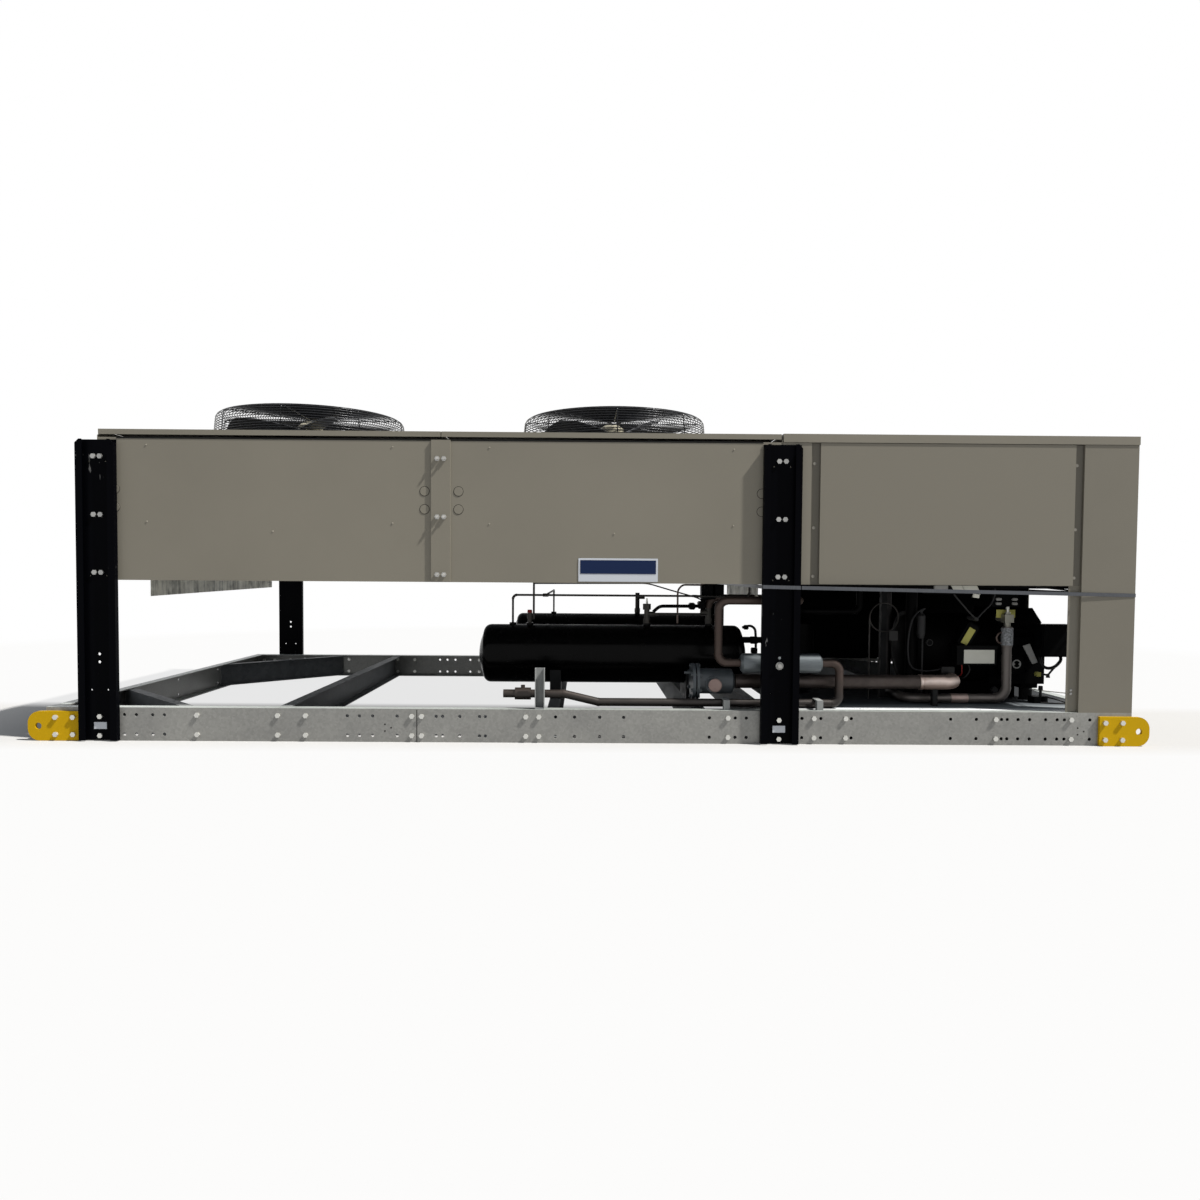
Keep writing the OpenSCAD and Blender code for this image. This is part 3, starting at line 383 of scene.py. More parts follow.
def deck_painted_light():
    """Galvanized deck with painted sunlight along the open front edge and painted shade further in,
    down to near black.
    """
    mat = galvanized("deck_painted_light", (0.34, 0.36, 0.38), 40, 0.94, 1.06, 0.3, 0.0, 0.05)
    return along_axis(mat, "Y", FRONT, 0.42, [
        (0.0, grey(0.80)), (0.24, (0.70, 0.72, 0.74)), (0.34, (0.26, 0.285, 0.30)),
        (0.6, (0.085, 0.095, 0.105)), (1.0, (0.03, 0.032, 0.035))])


def sun_highlit_copper():
    """Copper with a painted sun highlight along its upper side, brown below, its borders broken up by
    noise.
    """
    mat = copper_tube("sun_highlit_copper", (0.40, 0.30, 0.27))
    shader_of(mat).inputs["Metallic"].default_value = 0.25
    low = lo("suction_line")[2]
    return along_axis(mat, "Z", low, hi("suction_line")[2] - low, [
        (0.12, (0.10, 0.072, 0.06)), (0.42, (0.24, 0.175, 0.15)), (0.72, (0.88, 0.74, 0.68)),
        (0.92, (0.70, 0.54, 0.47)), (1.0, (0.20, 0.15, 0.13))], 0.2, 22)


def absorber_braid():
    """Steel braid of the vibration absorber, painted grey and speckled."""
    steel = (0.20, 0.21, 0.222)
    mat = material("absorber_braid", steel, rough=0.55, metal=0.1, spec=0.3)
    vector = tint_by_noise(mat, steel, 120, 0.35, 1.6, detail=3)
    bump(mat, noise(mat, vector, 260, 2), 0.5, 0.001)
    return mat


def streaked_plate(name, base):
    """Galvanized plate left in the weather: upright run marks over blotches."""
    mat = galvanized(name, base, 30, 0.85, 1.15, 0.1, 0.1)
    streaks = noise(mat, object_coords(mat, (1, 1, 0.08)), 60, 5)
    blotches = noise(mat, object_coords(mat), 14, 6)
    both = combined(mat, "MULTIPLY", streaks, blotches)
    stops = [(0.14, shade(base, 0.35)), (0.27, base), (0.4, shade(base, 1.3))]
    base_colour(mat, ramp(mat, both, stops))
    return mat


def supports_painted_shade(name, bright, dull):
    """Bright zinc on the posts along the front rail, and painted shade that darkens it to near black
    further in.
    """
    mat = galvanized(name, bright, 50, 0.9, 1.1, 0.15, 0.0, 0.1)
    return along_axis(mat, "Y", FRONT + 0.06, 0.1, [(0.05, bright), (1.0, dull)])


def bay_shade_lining():
    """Black sheet inside the compressor bay: painted shade, a dark surface where the bay lies in shade.
    """
    mat = material("liner", (0.0035, 0.0035, 0.0037), rough=0.95, spec=0.05)
    bump(mat, noise(mat, object_coords(mat), 90, 5), 0.4, 0.002)
    return mat


TAN = (0.186, 0.173, 0.141)
MATS = {
    # the rails' paler upper faces are painted sunlight
    "galvanized": painted_sunlit_tops(galvanized("galvanized", (0.393, 0.393, 0.372), 110, 0.90, 1.10), 1.5),
    "galvanized_plain": galvanized(
        "galvanized_plain", (0.168, 0.175, 0.178), 45, 0.85, 1.15, 0.2, 0.0, 0.15),
    "lug_yellow": enamel("lug_yellow", (0.50, 0.305, 0.003), 0.5, 0.08),
    "black_gloss": scuffed_black("black_gloss", (0.0010, 0.0011, 0.0018), 0.34, 0.02),
    "black_satin": black_paint("black_satin", (0.0006, 0.0006, 0.0007), 0.22, 0.065, 0.3),
    "cabinet": enamel("cabinet", TAN, 0.48),
    "liner": bay_shade_lining(),
    "zinc_hardware": brushed("zinc_hardware", (0.50, 0.49, 0.46), 0.36, (1, 1, 1), 0.6),
    "fins": fin_stock(),
    "fan_metal": fan_finish("fan_metal", FAN_X[0], FAN_Y[0]),
    "guard_wire": guard_wire(),
    "motor_grey": enamel("motor_grey", (0.012, 0.0125, 0.0135), 0.5, 0.1),
    "copper": copper_tube("copper", (0.115, 0.084, 0.072)),
    "valve_brass": service_brass(),
    "stem_steel": brushed("stem_steel", (0.50, 0.50, 0.46), 0.35),
    "cast_black": cast_metal("cast_black", (0.0008, 0.0008, 0.0009), 0.6, 0.2),
    "rubber": grained("rubber", (0.004, 0.004, 0.004), 0.85),
    "box_dark": enamel("box_dark", (0.002, 0.0022, 0.0024), 0.5, 0.04),
    "filter_grey": enamel("filter_grey", (0.062, 0.073, 0.082), 0.42, 0.4),
    "drier_silver": brushed("drier_silver", (0.115, 0.132, 0.142), 0.30, (1, 12, 12), 0.35),
    "gear_pale": grained("gear_pale", (0.45, 0.46, 0.45), 0.5),
    "band_steel": brushed("band_steel", (0.075, 0.08, 0.09), 0.40, (12, 1, 1), 0.5),
}
# nodes whose finish differs from their slot's usual one
OWN_FINISH = {
    # painted shade: the cover is the panels' TAN times 0.93, and greyer in its recesses
    "control_cover": paint_with_shaded_recesses("cabinet_cover", shade(TAN, 0.93), 0.48),
    # darker recesses behind the cover's face: painted shade
    "control_box": paint_with_shaded_recesses("cabinet_box", TAN, 0.48),
    "cover_screws": grained("cover_screws", (0.21, 0.20, 0.175), 0.5),
    "hex_bolts": along_axis(brushed("bolt_zinc", (0.5, 0.5, 0.5), 0.36, (1, 1, 1), 0.6), "Z", 0, 1, [
        (0.25, (0.58, 0.58, 0.55)), (0.3, (0.36, 0.36, 0.35))]),
    "liquid_line": along_axis(copper_tube("line_copper", (0.1, 0.1, 0.1)), "Z", 0, 1, [
        (0.20, (0.030, 0.026, 0.024)), (0.25, (0.038, 0.029, 0.025)), (0.32, (0.052, 0.036, 0.030)),
        (0.70, (0.052, 0.036, 0.030))], 0.05, 14),
    "suction_line": copper_tube("brown_copper", (0.052, 0.040, 0.036)),
    "rotor_front_right": fan_finish("fan_metal_front_right", FAN_X[1], FAN_Y[0]),
    "rotor_rear_left": fan_finish("fan_metal_rear_left", FAN_X[0], FAN_Y[1]),
    "rotor_rear_right": fan_finish("fan_metal_rear_right", FAN_X[1], FAN_Y[1]),
    # painted shade: the posts are the panels' TAN times 0.88
    "corner_posts": enamel("cabinet_posts", shade(TAN, 0.88), 0.48),
    "compressor_deck": deck_painted_light(),
    # the end plate's pale base tone is painted light; its run marks and blotches are its own
    "tube_sheets": streaked_plate("end_plate", (0.62, 0.61, 0.53)),
    "equipment_supports": supports_painted_shade("supports", (0.26, 0.27, 0.27), (0.010, 0.0105, 0.011)),
    # the receiver valves' brass is darkened: painted shade
    "receiver_valves": copper_tube("brass_painted_shade", (0.032, 0.029, 0.025)),
    "small_lines": copper_tube("dark_copper", (0.030, 0.027, 0.025)),
    "accumulator": black_paint("shell_black", (0.0012, 0.0012, 0.0013), 0.45, 0.03),
    # the discharge line turns near black further back from the valve: painted shade deeper in the bay
    "discharge_line": along_axis(copper_tube("grey_copper", (0.1, 0.1, 0.1)), "Y", VALVE[1], 0.12, [
        (0.0, (0.12, 0.107, 0.10)), (0.3, (0.12, 0.107, 0.10)), (1.0, (0.010, 0.009, 0.009))], 0.1, 14),
}

SLOT_OF = {row["node"]: row["material_slot"] for row in frame["record"]["subparts"]}
for name, obj in frame["nodes"].items():
    obj.data.materials.clear()
    obj.data.materials.append(OWN_FINISH.get(name) or MATS[SLOT_OF[name]])

PLATE_WHITE = enamel("plate_white", (0.52, 0.55, 0.60), 0.4, 0.2)
PLATE_NAVY = enamel("plate_navy", (0.010, 0.020, 0.062), 0.45, 0.08)
LABEL_CREAM = grained("label_cream", (0.62, 0.62, 0.56), 0.5)
# paler copper: a painted highlight on the discharge line's low stretch
STRETCH_HIGHLIGHT_COPPER = copper_tube("copper_painted_highlight", (0.36, 0.27, 0.24))
STUB_COPPER = copper_tube("stub_copper", (0.21, 0.15, 0.135))
# copper with a painted sun highlight, for the suction elbow
ELBOW_HIGHLIGHT_COPPER = sun_highlit_copper()
BRAID = absorber_braid()
BRACKET_GREY = grained("bracket_grey", (0.33, 0.33, 0.32), 0.5)
DIM_GREY = grained("dim_grey", (0.024, 0.024, 0.024), 0.6)
SCREW_DULL = grained("screw_dull", (0.26, 0.245, 0.205), 0.6)
TAG_YELLOW = grained("tag_yellow", (0.42, 0.40, 0.11), 0.5)
CAP_RED = grained("cap_red", (0.20, 0.015, 0.012), 0.45)
HOSE_BLACK = grained("hose_black", (0.006, 0.006, 0.0065), 0.5)
HOSE_GREY = grained("hose_grey", (0.016, 0.016, 0.017), 0.5)
SHADOW_LINE = grained("shadow_line", (0.02, 0.018, 0.015), 0.8)


# ---------------------------------------------------------------- building blocks
ROUND_SIDES = 40


def finish_piece(obj, mat, smooth=False):
    """Material, faces and body of a new piece; every piece here is fixed to the unit."""
    obj.data.materials.append(mat)
    if smooth:
        for face in obj.data.polygons:
            face.use_smooth = True
    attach(obj, "unit")
    return obj


def mesh_piece(name, bm, mat, smooth=False):
    mesh = bpy.data.meshes.new(name)
    bm.to_mesh(mesh)
    bm.free()
    obj = bpy.data.objects.new(name, mesh)
    bpy.context.collection.objects.link(obj)
    return finish_piece(obj, mat, smooth)


def add_disc(bm, centre, axis, radius, depth, sides, top=None):
    """A cylinder from centre along axis; with top, a cone frustum that ends at that radius."""
    axis = Vector(axis).normalized()
    turn = Vector((0, 0, 1)).rotation_difference(axis).to_matrix().to_4x4()
    made = bmesh.ops.create_cone(bm, cap_ends=True, segments=sides, radius1=radius,
                                 radius2=radius if top is None else top, depth=depth)
    turn.translation = Vector(centre) + axis * (depth / 2)
    bmesh.ops.transform(bm, matrix=turn, verts=made["verts"])


def round_edges(bm, edges, offset):
    bmesh.ops.bevel(bm, geom=list(edges), offset=offset, segments=2, affect="EDGES",
                    clamp_overlap=True)


def add_box(bm, low, high, bevel=0.0):
    """A box between two corners, its edges rounded by bevel."""
    made = bmesh.ops.create_cube(bm, size=1)
    size = [b - a for a, b in zip(low, high)]
    middle = [(a + b) / 2 for a, b in zip(low, high)]
    for vert in made["verts"]:
        vert.co = Vector([m + c * s for m, c, s in zip(middle, vert.co, size)])
    if bevel:
        round_edges(bm, {edge for vert in made["verts"] for edge in vert.link_edges}, bevel)


CORNER_STEPS = 6
# a corner takes up no more than this share of the stretch on either side
CORNER_SHARE = 0.45


def rounded_path(points, bend):
    """points with each inner corner replaced by a curve of radius bend, or less where it is tight."""
    pts = [Vector(p) for p in points]
    path = [pts[0]]
    for before, here, after in zip(pts, pts[1:], pts[2:]):
        back = before - here
        ahead = after - here
        cut = min(bend, back.length * CORNER_SHARE, ahead.length * CORNER_SHARE)
        start = here + back.normalized() * cut
        end = here + ahead.normalized() * cut
        for step in range(CORNER_STEPS + 1):
            t = step / CORNER_STEPS
            path.append(start.lerp(here, t).lerp(here.lerp(end, t), t))
    path.append(pts[-1])
    return path


def tube(name, points, radius, mat, bend):
    """A round line through points, its corners rounded with radius bend."""
    path = rounded_path(points, bend)
    curve = bpy.data.curves.new(name, "CURVE")
    curve.dimensions = "3D"
    curve.bevel_depth = radius
    curve.bevel_resolution = 8 if radius > 10 * MM else 4
    curve.use_fill_caps = True
    spline = curve.splines.new("POLY")
    spline.points.add(len(path) - 1)
    for point, co in zip(spline.points, path):
        point.co = (*co, 1)
    obj = bpy.data.objects.new(name, curve)
    bpy.context.collection.objects.link(obj)
    return finish_piece(obj, mat)


# ---------------------------------------------------------------- casing dressing
# radius, depth, sides and end radius of the screws' heads and the studs' ends
PAN_HEAD = (0.0036, 0.0022, 12, 0.0028)
SIDE_HEAD = (0.0045, 0.0026, 12, 0.0034)
STUD_END = (0.0055, 0.007, 16, 0.0048)


def casing_fasteners():
    """Pan-head screws along the panels' upper edges and middles, front and rear."""
    bm = bmesh.new()
    reach = 0.51
    rows = (1.235, 0.918)
    lone_dx, lone_z = 0.012, 0.881
    for side in (-1, 1):
        y = side * abs(FRONT)
        for centre in ((LEG_LEFT + JOINT_MID) / 2, (JOINT_MID + LEG_MID) / 2):
            places = [(centre + dx, z) for dx in (-reach, reach) for z in rows]
            places.append((centre + lone_dx, lone_z))
            for x, z in places:
                add_disc(bm, (x, y, z), (0, side, 0), *PAN_HEAD)
    mesh_piece("panel_screws", bm, SCREW_DULL)


def roof_shadow_strips():
    """Black strip along the upper edge of the condenser's panels, under the roof's lip: painted shade
    that deepens the dark gap there.
    """
    bm = bmesh.new()
    inset = 0.08
    thick = 1.2 * MM
    for side in (-1, 1):
        inner, outer = sorted((side * abs(FRONT), side * (abs(FRONT) + thick)))
        add_box(bm, (LEG_LEFT + inset, inner, PANEL_TOP - 5 * MM),
                (LEG_MID - inset, outer, PANEL_TOP + 2 * MM), 0.0003)
    mesh_piece("roof_shadow_strips", bm, MATS["rubber"])


def rail_marks():
    """Butt joint of the front rail's two lengths, and three small holes near each right end."""
    joint = hi("front_rail_left")[0]
    face = lo("front_rail_left")[1]
    half_gap = 1.6 * MM
    bm = bmesh.new()
    add_box(bm, (joint - half_gap, face - 0.5 * MM, 2 * MM),
            (joint + half_gap, face, RAIL_TOP - 3 * MM))
    for group_x in (joint - 0.134, joint + 2.793):
        for dx, z in ((0, 0.074), (0.026, 0.060), (0, 0.046)):
            add_disc(bm, (group_x + dx, face, z), (0, -1, 0), 0.0035, 0.0004, 16)
    mesh_piece("rail_marks", bm, SHADOW_LINE)


def side_fasteners():
    """Screws round the end and rear sheets, which the front view does not reach."""
    bm = bmesh.new()
    bay_heights = (0.18, 0.645)
    ends = [(-1, LEG_LEFT, (0.70, 1.20), -1.0, 1.0),
            (1, hi("control_box")[0], (0.72, 1.23), -0.85, 1.0),
            (1, hi("bay_panels")[0], bay_heights, lo("bay_panels")[1] + 0.03, 1.0)]
    for side, x, heights, first, last in ends:
        for k in range(6):
            y = first + (last - first) * k / 5
            for z in heights:
                add_disc(bm, (x, y, z), (side, 0, 0), *SIDE_HEAD)
    for heights, first, last in (((0.72, 1.22), 0.92, 1.95), (bay_heights, 1.28, 1.95)):
        for k in range(5):
            x = first + (last - first) * k / 4
            for z in heights:
                add_disc(bm, (x, REAR, z), (0, 1, 0), *SIDE_HEAD)
    mesh_piece("side_screws", bm, SCREW_DULL)


def strap_studs():
    """Thread ends that stand out of the bolt heads on the section straps."""
    bm = bmesh.new()
    bolt_heights = (0.705, 0.945, 1.186)
    for side in (-1, 1):
        face = side * (abs(lo("joint_straps")[1]) + 8 * MM)
        for dx in (-14 * MM, 14 * MM):
            for z in bolt_heights:
                add_disc(bm, (JOINT_MID + dx, face, z), (0, side, 0), *STUD_END)
    mesh_piece("strap_studs", bm, MATS["zinc_hardware"])


def knockouts():
    """Round cable knockouts beside the section joints: a shallow step with a shadow line."""
    rim = bmesh.new()
    face = bmesh.new()
    radius = 0.021
    columns = (LEG_LEFT + 0.071, JOINT_MID - 0.068, JOINT_MID + 0.073, LEG_MID - 0.084)
    for side in (-1, 1):
        y = side * abs(FRONT)
        for x in columns:
            for z in (1.052, 0.977):
                add_disc(rim, (x, y, z), (0, side, 0), radius, 0.0006, ROUND_SIDES)
                add_disc(face, (x, y, z), (0, side, 0), radius - 0.0018, 0.0016, ROUND_SIDES,
                         radius - 0.0026)
    mesh_piece("knockout_rims", rim, SHADOW_LINE)
    mesh_piece("knockout_faces", face, MATS["cabinet"])


def bare_sign():
    """A plain two-tone plate at the foot of the right condenser panel."""
    left, right = -0.060, 0.273
    bottom = PANEL_BOTTOM + 0.006
    top = bottom + 0.098
    border = 0.008
    band_foot = 0.033
    bm = bmesh.new()
    add_box(bm, (left, FRONT - 0.0022, bottom), (right, FRONT - 0.0002, top), 0.0008)
    mesh_piece("sign_plate", bm, PLATE_WHITE)
    bm = bmesh.new()
    add_box(bm, (left + border, FRONT - 0.0032, bottom + band_foot),
            (right - border, FRONT - 0.0022, top - border), 0.0004)
    mesh_piece("sign_band", bm, PLATE_NAVY)


def leg_stickers():
    """Blank stickers low on the two front legs."""
    bm = bmesh.new()
    face = FRONT - 0.0042
    for x in (LEG_LEFT, LEG_MID):
        add_box(bm, (x - 0.026, face - 0.0006, 0.049), (x + 0.027, face, 0.078), 0.0002)
    mesh_piece("leg_stickers", bm, PLATE_WHITE)


casing_fasteners()
roof_shadow_strips()
rail_marks()
side_fasteners()
strap_studs()
knockouts()
bare_sign()
leg_stickers()


# ---------------------------------------------------------------- wire guards
GUARD_FOOT_R = (hi("fan_guards_front")[0] - lo("fan_guards_front")[0] - FAN_SPACING) / 2 - 3 * MM
GUARD_Z = (lo("fan_guards_front")[2], hi("fan_guards_front")[2])
RING_PITCH = 11.2 * MM
RING_STEPS = 72
RING_WIRE_R = 2.0 * MM
RIB_WIRE_R = 2.3 * MM
RIB_INSET = 3.6 * MM
RIB_COUNT = 8
# radius within which the ribs lie under the rings, and outside which they lie inside them
CROWN_R = 0.42


def guard_profile():
    """Outline of a guard from its foot over the shoulder to the hub, as (radius, height) pairs."""
    foot_z, top_z = GUARD_Z
    lean = 11 * MM
    bend = 25 * MM
    crown = top_z - 2 * MM
    side_r = GUARD_FOOT_R - lean
    points = [(GUARD_FOOT_R, foot_z + 2 * MM), (side_r, crown - bend)]
    steps = 8
    for step in range(1, steps + 1):
        turn = math.radians(90 * step / steps)
        points.append((side_r - bend * (1 - math.cos(turn)), crown - bend + bend * math.sin(turn)))
    points.append((15 * MM, crown))
    return points


def along(points, gap):
    """Points every gap along a polyline."""
    places = []
    left = 0.0
    for (r0, z0), (r1, z1) in zip(points, points[1:]):
        length = math.hypot(r1 - r0, z1 - z0)
        while left < length:
            t = left / length
            places.append((r0 + (r1 - r0) * t, z0 + (z1 - z0) * t))
            left += gap
        left -= length
    return places


def add_sweep(bm, path, radius, sides, closed=False):
    """A round wire through path, which is a list of points."""
    count = len(path)
    rings = []
    for i, here in enumerate(path):
        before = path[(i - 1) % count] if closed or i else here
        after = path[(i + 1) % count] if closed or i < count - 1 else here
        direction = (after - before).normalized()
        turn = Vector((0, 0, 1)).rotation_difference(direction).to_matrix()
        side = turn @ Vector((1, 0, 0))
        if rings:
            last = rings[-1][0].co - path[i - 1]
            side = (last - direction * last.dot(direction)).normalized()
        up = direction.cross(side)
        rings.append([bm.verts.new(here + radius * (side * math.cos(a) + up * math.sin(a)))
                      for a in (2 * math.pi * k / sides for k in range(sides))])
    for a, b in zip(rings, rings[1:]):
        for k in range(sides):
            bm.faces.new((a[k], a[(k + 1) % sides], b[(k + 1) % sides], b[k]))
    if closed:
        # the last ring meets the first with the vertex that lies nearest
        a, b = rings[-1], rings[0]
        shift = min(range(sides), key=lambda k: (b[k].co - a[0].co).length)
        for k in range(sides):
            n = k + 1
            bm.faces.new((a[k], a[n % sides], b[(n + shift) % sides], b[(k + shift) % sides]))
    else:
        bm.faces.new(list(reversed(rings[0])))
        bm.faces.new(rings[-1])


def wire_guard(bm, centre):
    """Rings at an even pitch over the profile, on ribs of thicker wire inside them."""
    outline = guard_profile()
    middle = Vector((*centre, 0))
    for r, z in along(outline, RING_PITCH):
        ring = [middle + Vector((r * math.cos(a), r * math.sin(a), z))
                for a in (2 * math.pi * k / RING_STEPS for k in range(RING_STEPS))]
        add_sweep(bm, ring, RING_WIRE_R, 5, closed=True)
    for k in range(RIB_COUNT):
        a = 2 * math.pi * k / RIB_COUNT - math.pi / 2
        rib = []
        for r, z in outline:
            inner = r - RIB_INSET
            drop = RIB_INSET if r < CROWN_R else 0
            rib.append(middle + Vector((inner * math.cos(a), inner * math.sin(a), z - drop)))
        add_sweep(bm, rib, RIB_WIRE_R, 6)


for row, row_y in (("front", FAN_Y[0]), ("rear", FAN_Y[1])):
    guard_mesh = bmesh.new()
    for fan_x in FAN_X:
        wire_guard(guard_mesh, (fan_x, row_y))
    guards = mesh_piece("wire_guards_" + row, guard_mesh, MATS["guard_wire"], smooth=True)
    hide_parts("fan_guards_" + row)


# ---------------------------------------------------------------- compressor bay dressing
DECK = hi("compressor_deck")[2]
CEILING = (hi("accumulator")[2] - DECK) / MM
PUMP = centre_of("oil_regulator")
SUCTION_R = (hi("suction_line")[2] - lo("suction_line")[2]) / 2
SUCTION_Z = centre_of("suction_line")[2]
TO_FRONT = (0, -1, 0)
UP = (0, 0, 1)


def bay(dx, dy, height):
    """A point dx and dy mm from the discharge valve's axis, height mm above the deck."""
    return Vector((VALVE[0] + dx * MM, VALVE[1] + dy * MM, DECK + height * MM))


def bay_tube(name, points, radius, mat, bend=0.02):
    """A line through points given as for bay, its radius in mm."""
    return tube(name, [bay(*p) for p in points], radius * MM, mat, bend=bend)


def add_plate(bm, corners, dy, thickness):
    """A flat plate facing the front, through corners given as (dx, height) round its outline."""
    front = [bm.verts.new(bay(x, dy, z)) for x, z in corners]
    back = [bm.verts.new(bay(x, dy + thickness, z)) for x, z in corners]
    bm.faces.new(front)
    bm.faces.new(list(reversed(back)))
    count = len(corners)
    for k in range(count):
        n = (k + 1) % count
        bm.faces.new((front[n], front[k], back[k], back[n]))
    bmesh.ops.recalc_face_normals(bm, faces=bm.faces)


def plates(name, rows, mat, bevel=0.6):
    """One piece of flat plates; rows holds (corners, dy, thickness) of each, in mm."""
    bm = bmesh.new()
    for corners, dy, thickness in rows:
        add_plate(bm, corners, dy, thickness)
    round_edges(bm, bm.edges, bevel * MM)
    return mesh_piece(name, bm, mat)


def oblong(x0, x1, z0, z1):
    return [(x0, z0), (x1, z0), (x1, z1), (x0, z1)]


def tilted(x, z, width, height, degrees):
    """Corners of an oblong about (x, z), turned in its own plane."""
    a = math.radians(degrees)
    return [(x + u * math.cos(a) - v * math.sin(a), z + u * math.sin(a) + v * math.cos(a))
            for u, v in ((-width / 2, -height / 2), (width / 2, -height / 2),
                         (width / 2, height / 2), (-width / 2, height / 2))]


def discs(name, rows, mat):
    """One piece of discs; rows holds (point, axis, radius, depth, end radius) of each, in mm."""
    bm = bmesh.new()
    for point, axis, radius, depth, end_radius in rows:
        add_disc(bm, point, axis, radius * MM, depth * MM, ROUND_SIDES, end_radius * MM)
    return mesh_piece(name, bm, mat)


def bay_labels():
    """Blank labels and tags where the real ones carry print."""
    plates("terminal_label", [(oblong(-190, -51, 181, 243), 6.1, 0.8)], LABEL_CREAM)
    plates("yellow_tags", [
        (oblong(-41, 46, 388, 425), 20.6, 1.0),
        (tilted(-165, 303, 31, 80, -30), 22, 1.4),
    ], TAG_YELLOW)
    plates("cream_tag", [(oblong(152, 170, 122, 141), 20, 24)], TAG_YELLOW)
    plates("barrel_label", [(oblong(-500, -460, 276, 320), 90, 2)], DIM_GREY)
    lever = [(88, 261), (123, 271), (163, 185), (136, 175)]
    plates("link_plate", [(lever, 33, 4)], BRACKET_GREY, 2)


def bay_switches():
    """Pressure switch, its stays, and the bracket and nuts on the front head."""
    plates("tilted_switch", [(tilted(-160, 308, 56, 112, -30), 24, 78)], MATS["box_dark"], 7)
    plates("link_stays", [
        (oblong(116, 128, 196, 208), 36, 66),
        (oblong(100, 112, 244, 256), 36, 66),
        (oblong(122, 134, 134, 146), 56, 46),
    ], MATS["box_dark"])
    plates("head_bracket", [(oblong(-52, 70, 437, CEILING), 35, 6)], MATS["box_dark"])
    bolts = [(oblong(x, x + 25, z, z + 12), 24, 12) for z in (446, 466) for x in (-39, 34)]
    plates("bracket_nuts", bolts, BRACKET_GREY, 2.5)


def pump_badge():
    """Round blank badge on the oil pump, with a raised mark above and below its middle."""
    badge = Vector((PUMP[0] - 4 * MM, lo("oil_regulator")[1], PUMP[2] + 5 * MM))
    thick = 1.6
    discs("pump_badge", [(badge, TO_FRONT, 20.5, thick, 19.5)], BRACKET_GREY)
    face = badge + Vector(TO_FRONT) * thick * MM
    bm = bmesh.new()
    for side in (-1, 1):
        add_disc(bm, face + Vector((0, 0, side * 6.5 * MM)), TO_FRONT, 0.009, 0.0008, 24, 0.0088)
        bar = face + Vector((0, 0, side * 7 * MM))
        add_box(bm, bar + Vector((-0.012, -0.0008, -0.0045)), bar + Vector((0.012, 0, 0.0045)), 0.0003)
    mesh_piece("badge_face", bm, MATS["box_dark"])


def sight_glasses():
    discs("barrel_sights", [(bay(-314, 92, 268), TO_FRONT, 17, 9, 15)], DIM_GREY)
    glass = [(bay(-314, 83, 268), TO_FRONT, 12, 1, 11)]
    discs("barrel_sight_centres", glass, MATS["box_dark"])
    discs("sump_glass", [(bay(-5, 100, 48), TO_FRONT, 17, 12, 15)], DIM_GREY)


def compressor_skid():
    """Block that the compressor stands on."""
    block = [(oblong(-310, 140, 0, 76), 190, 60)]
    plates("compressor_skid", block, MATS["cast_black"], 4)


def solenoid():
    """Bottle-shaped coil on a thin pipe from the deck."""
    rows = [(bay(-372, 43, 291), UP, 13, 18, 18), (bay(-372, 43, 309), UP, 18, 84, 18),
            (bay(-372, 43, 393), UP, 18, 12, 10), (bay(-372, 43, 405), UP, 6, 12, 5)]
    discs("solenoid_coil", rows, HOSE_GREY)
    bay_tube("solenoid_pipe", [(-365, 43, 0), (-365, 43, 292)], 4, HOSE_GREY)


def barrel_leads():
    """Leads of the gas coil and of the terminal box."""
    bay_tube("solenoid_lead", [
        (-372, 43, 415), (-352, 43, 430), (-384, 43, 416), (-412, 43, 382), (-427, 43, 320),
        (-432, 43, 241), (-425, 43, 178), (-405, 43, 150), (-345, 43, 138), (-276, 43, 150),
    ], 4, HOSE_GREY, 0.04)
    bay_tube("red_lead", [(-193, 20, 176), (-190, 22, 128), (-186, 150, 92)], 3, CAP_RED)
    bay_tube("loop_lead", [
        (-165, 16, 176), (-156, 18, 149), (-166, 20, 128), (-180, 24, 112), (-176, 152, 92),
    ], 3.5, HOSE_BLACK)


def gauge_hoses():
    """Two hoses that drop from the ceiling to a tee in front of the tilted switch."""
    bay_tube("gauge_hose_left", [
        (-272, -57, CEILING), (-272, -57, 497), (-200, -57, 415), (-168, -50, 388),
    ], 3.6, DIM_GREY, 0.03)
    bay_tube("gauge_hose_right", [
        (-160, -50, 388), (-132, -50, 420), (-99, -50, 452), (-84, -50, 492), (-84, -50, CEILING),
    ], 3.6, HOSE_GREY, 0.03)
    plates("gauge_tee", [(tilted(-166, 386, 22, 12, -40), -58, 82)], DIM_GREY, 3)


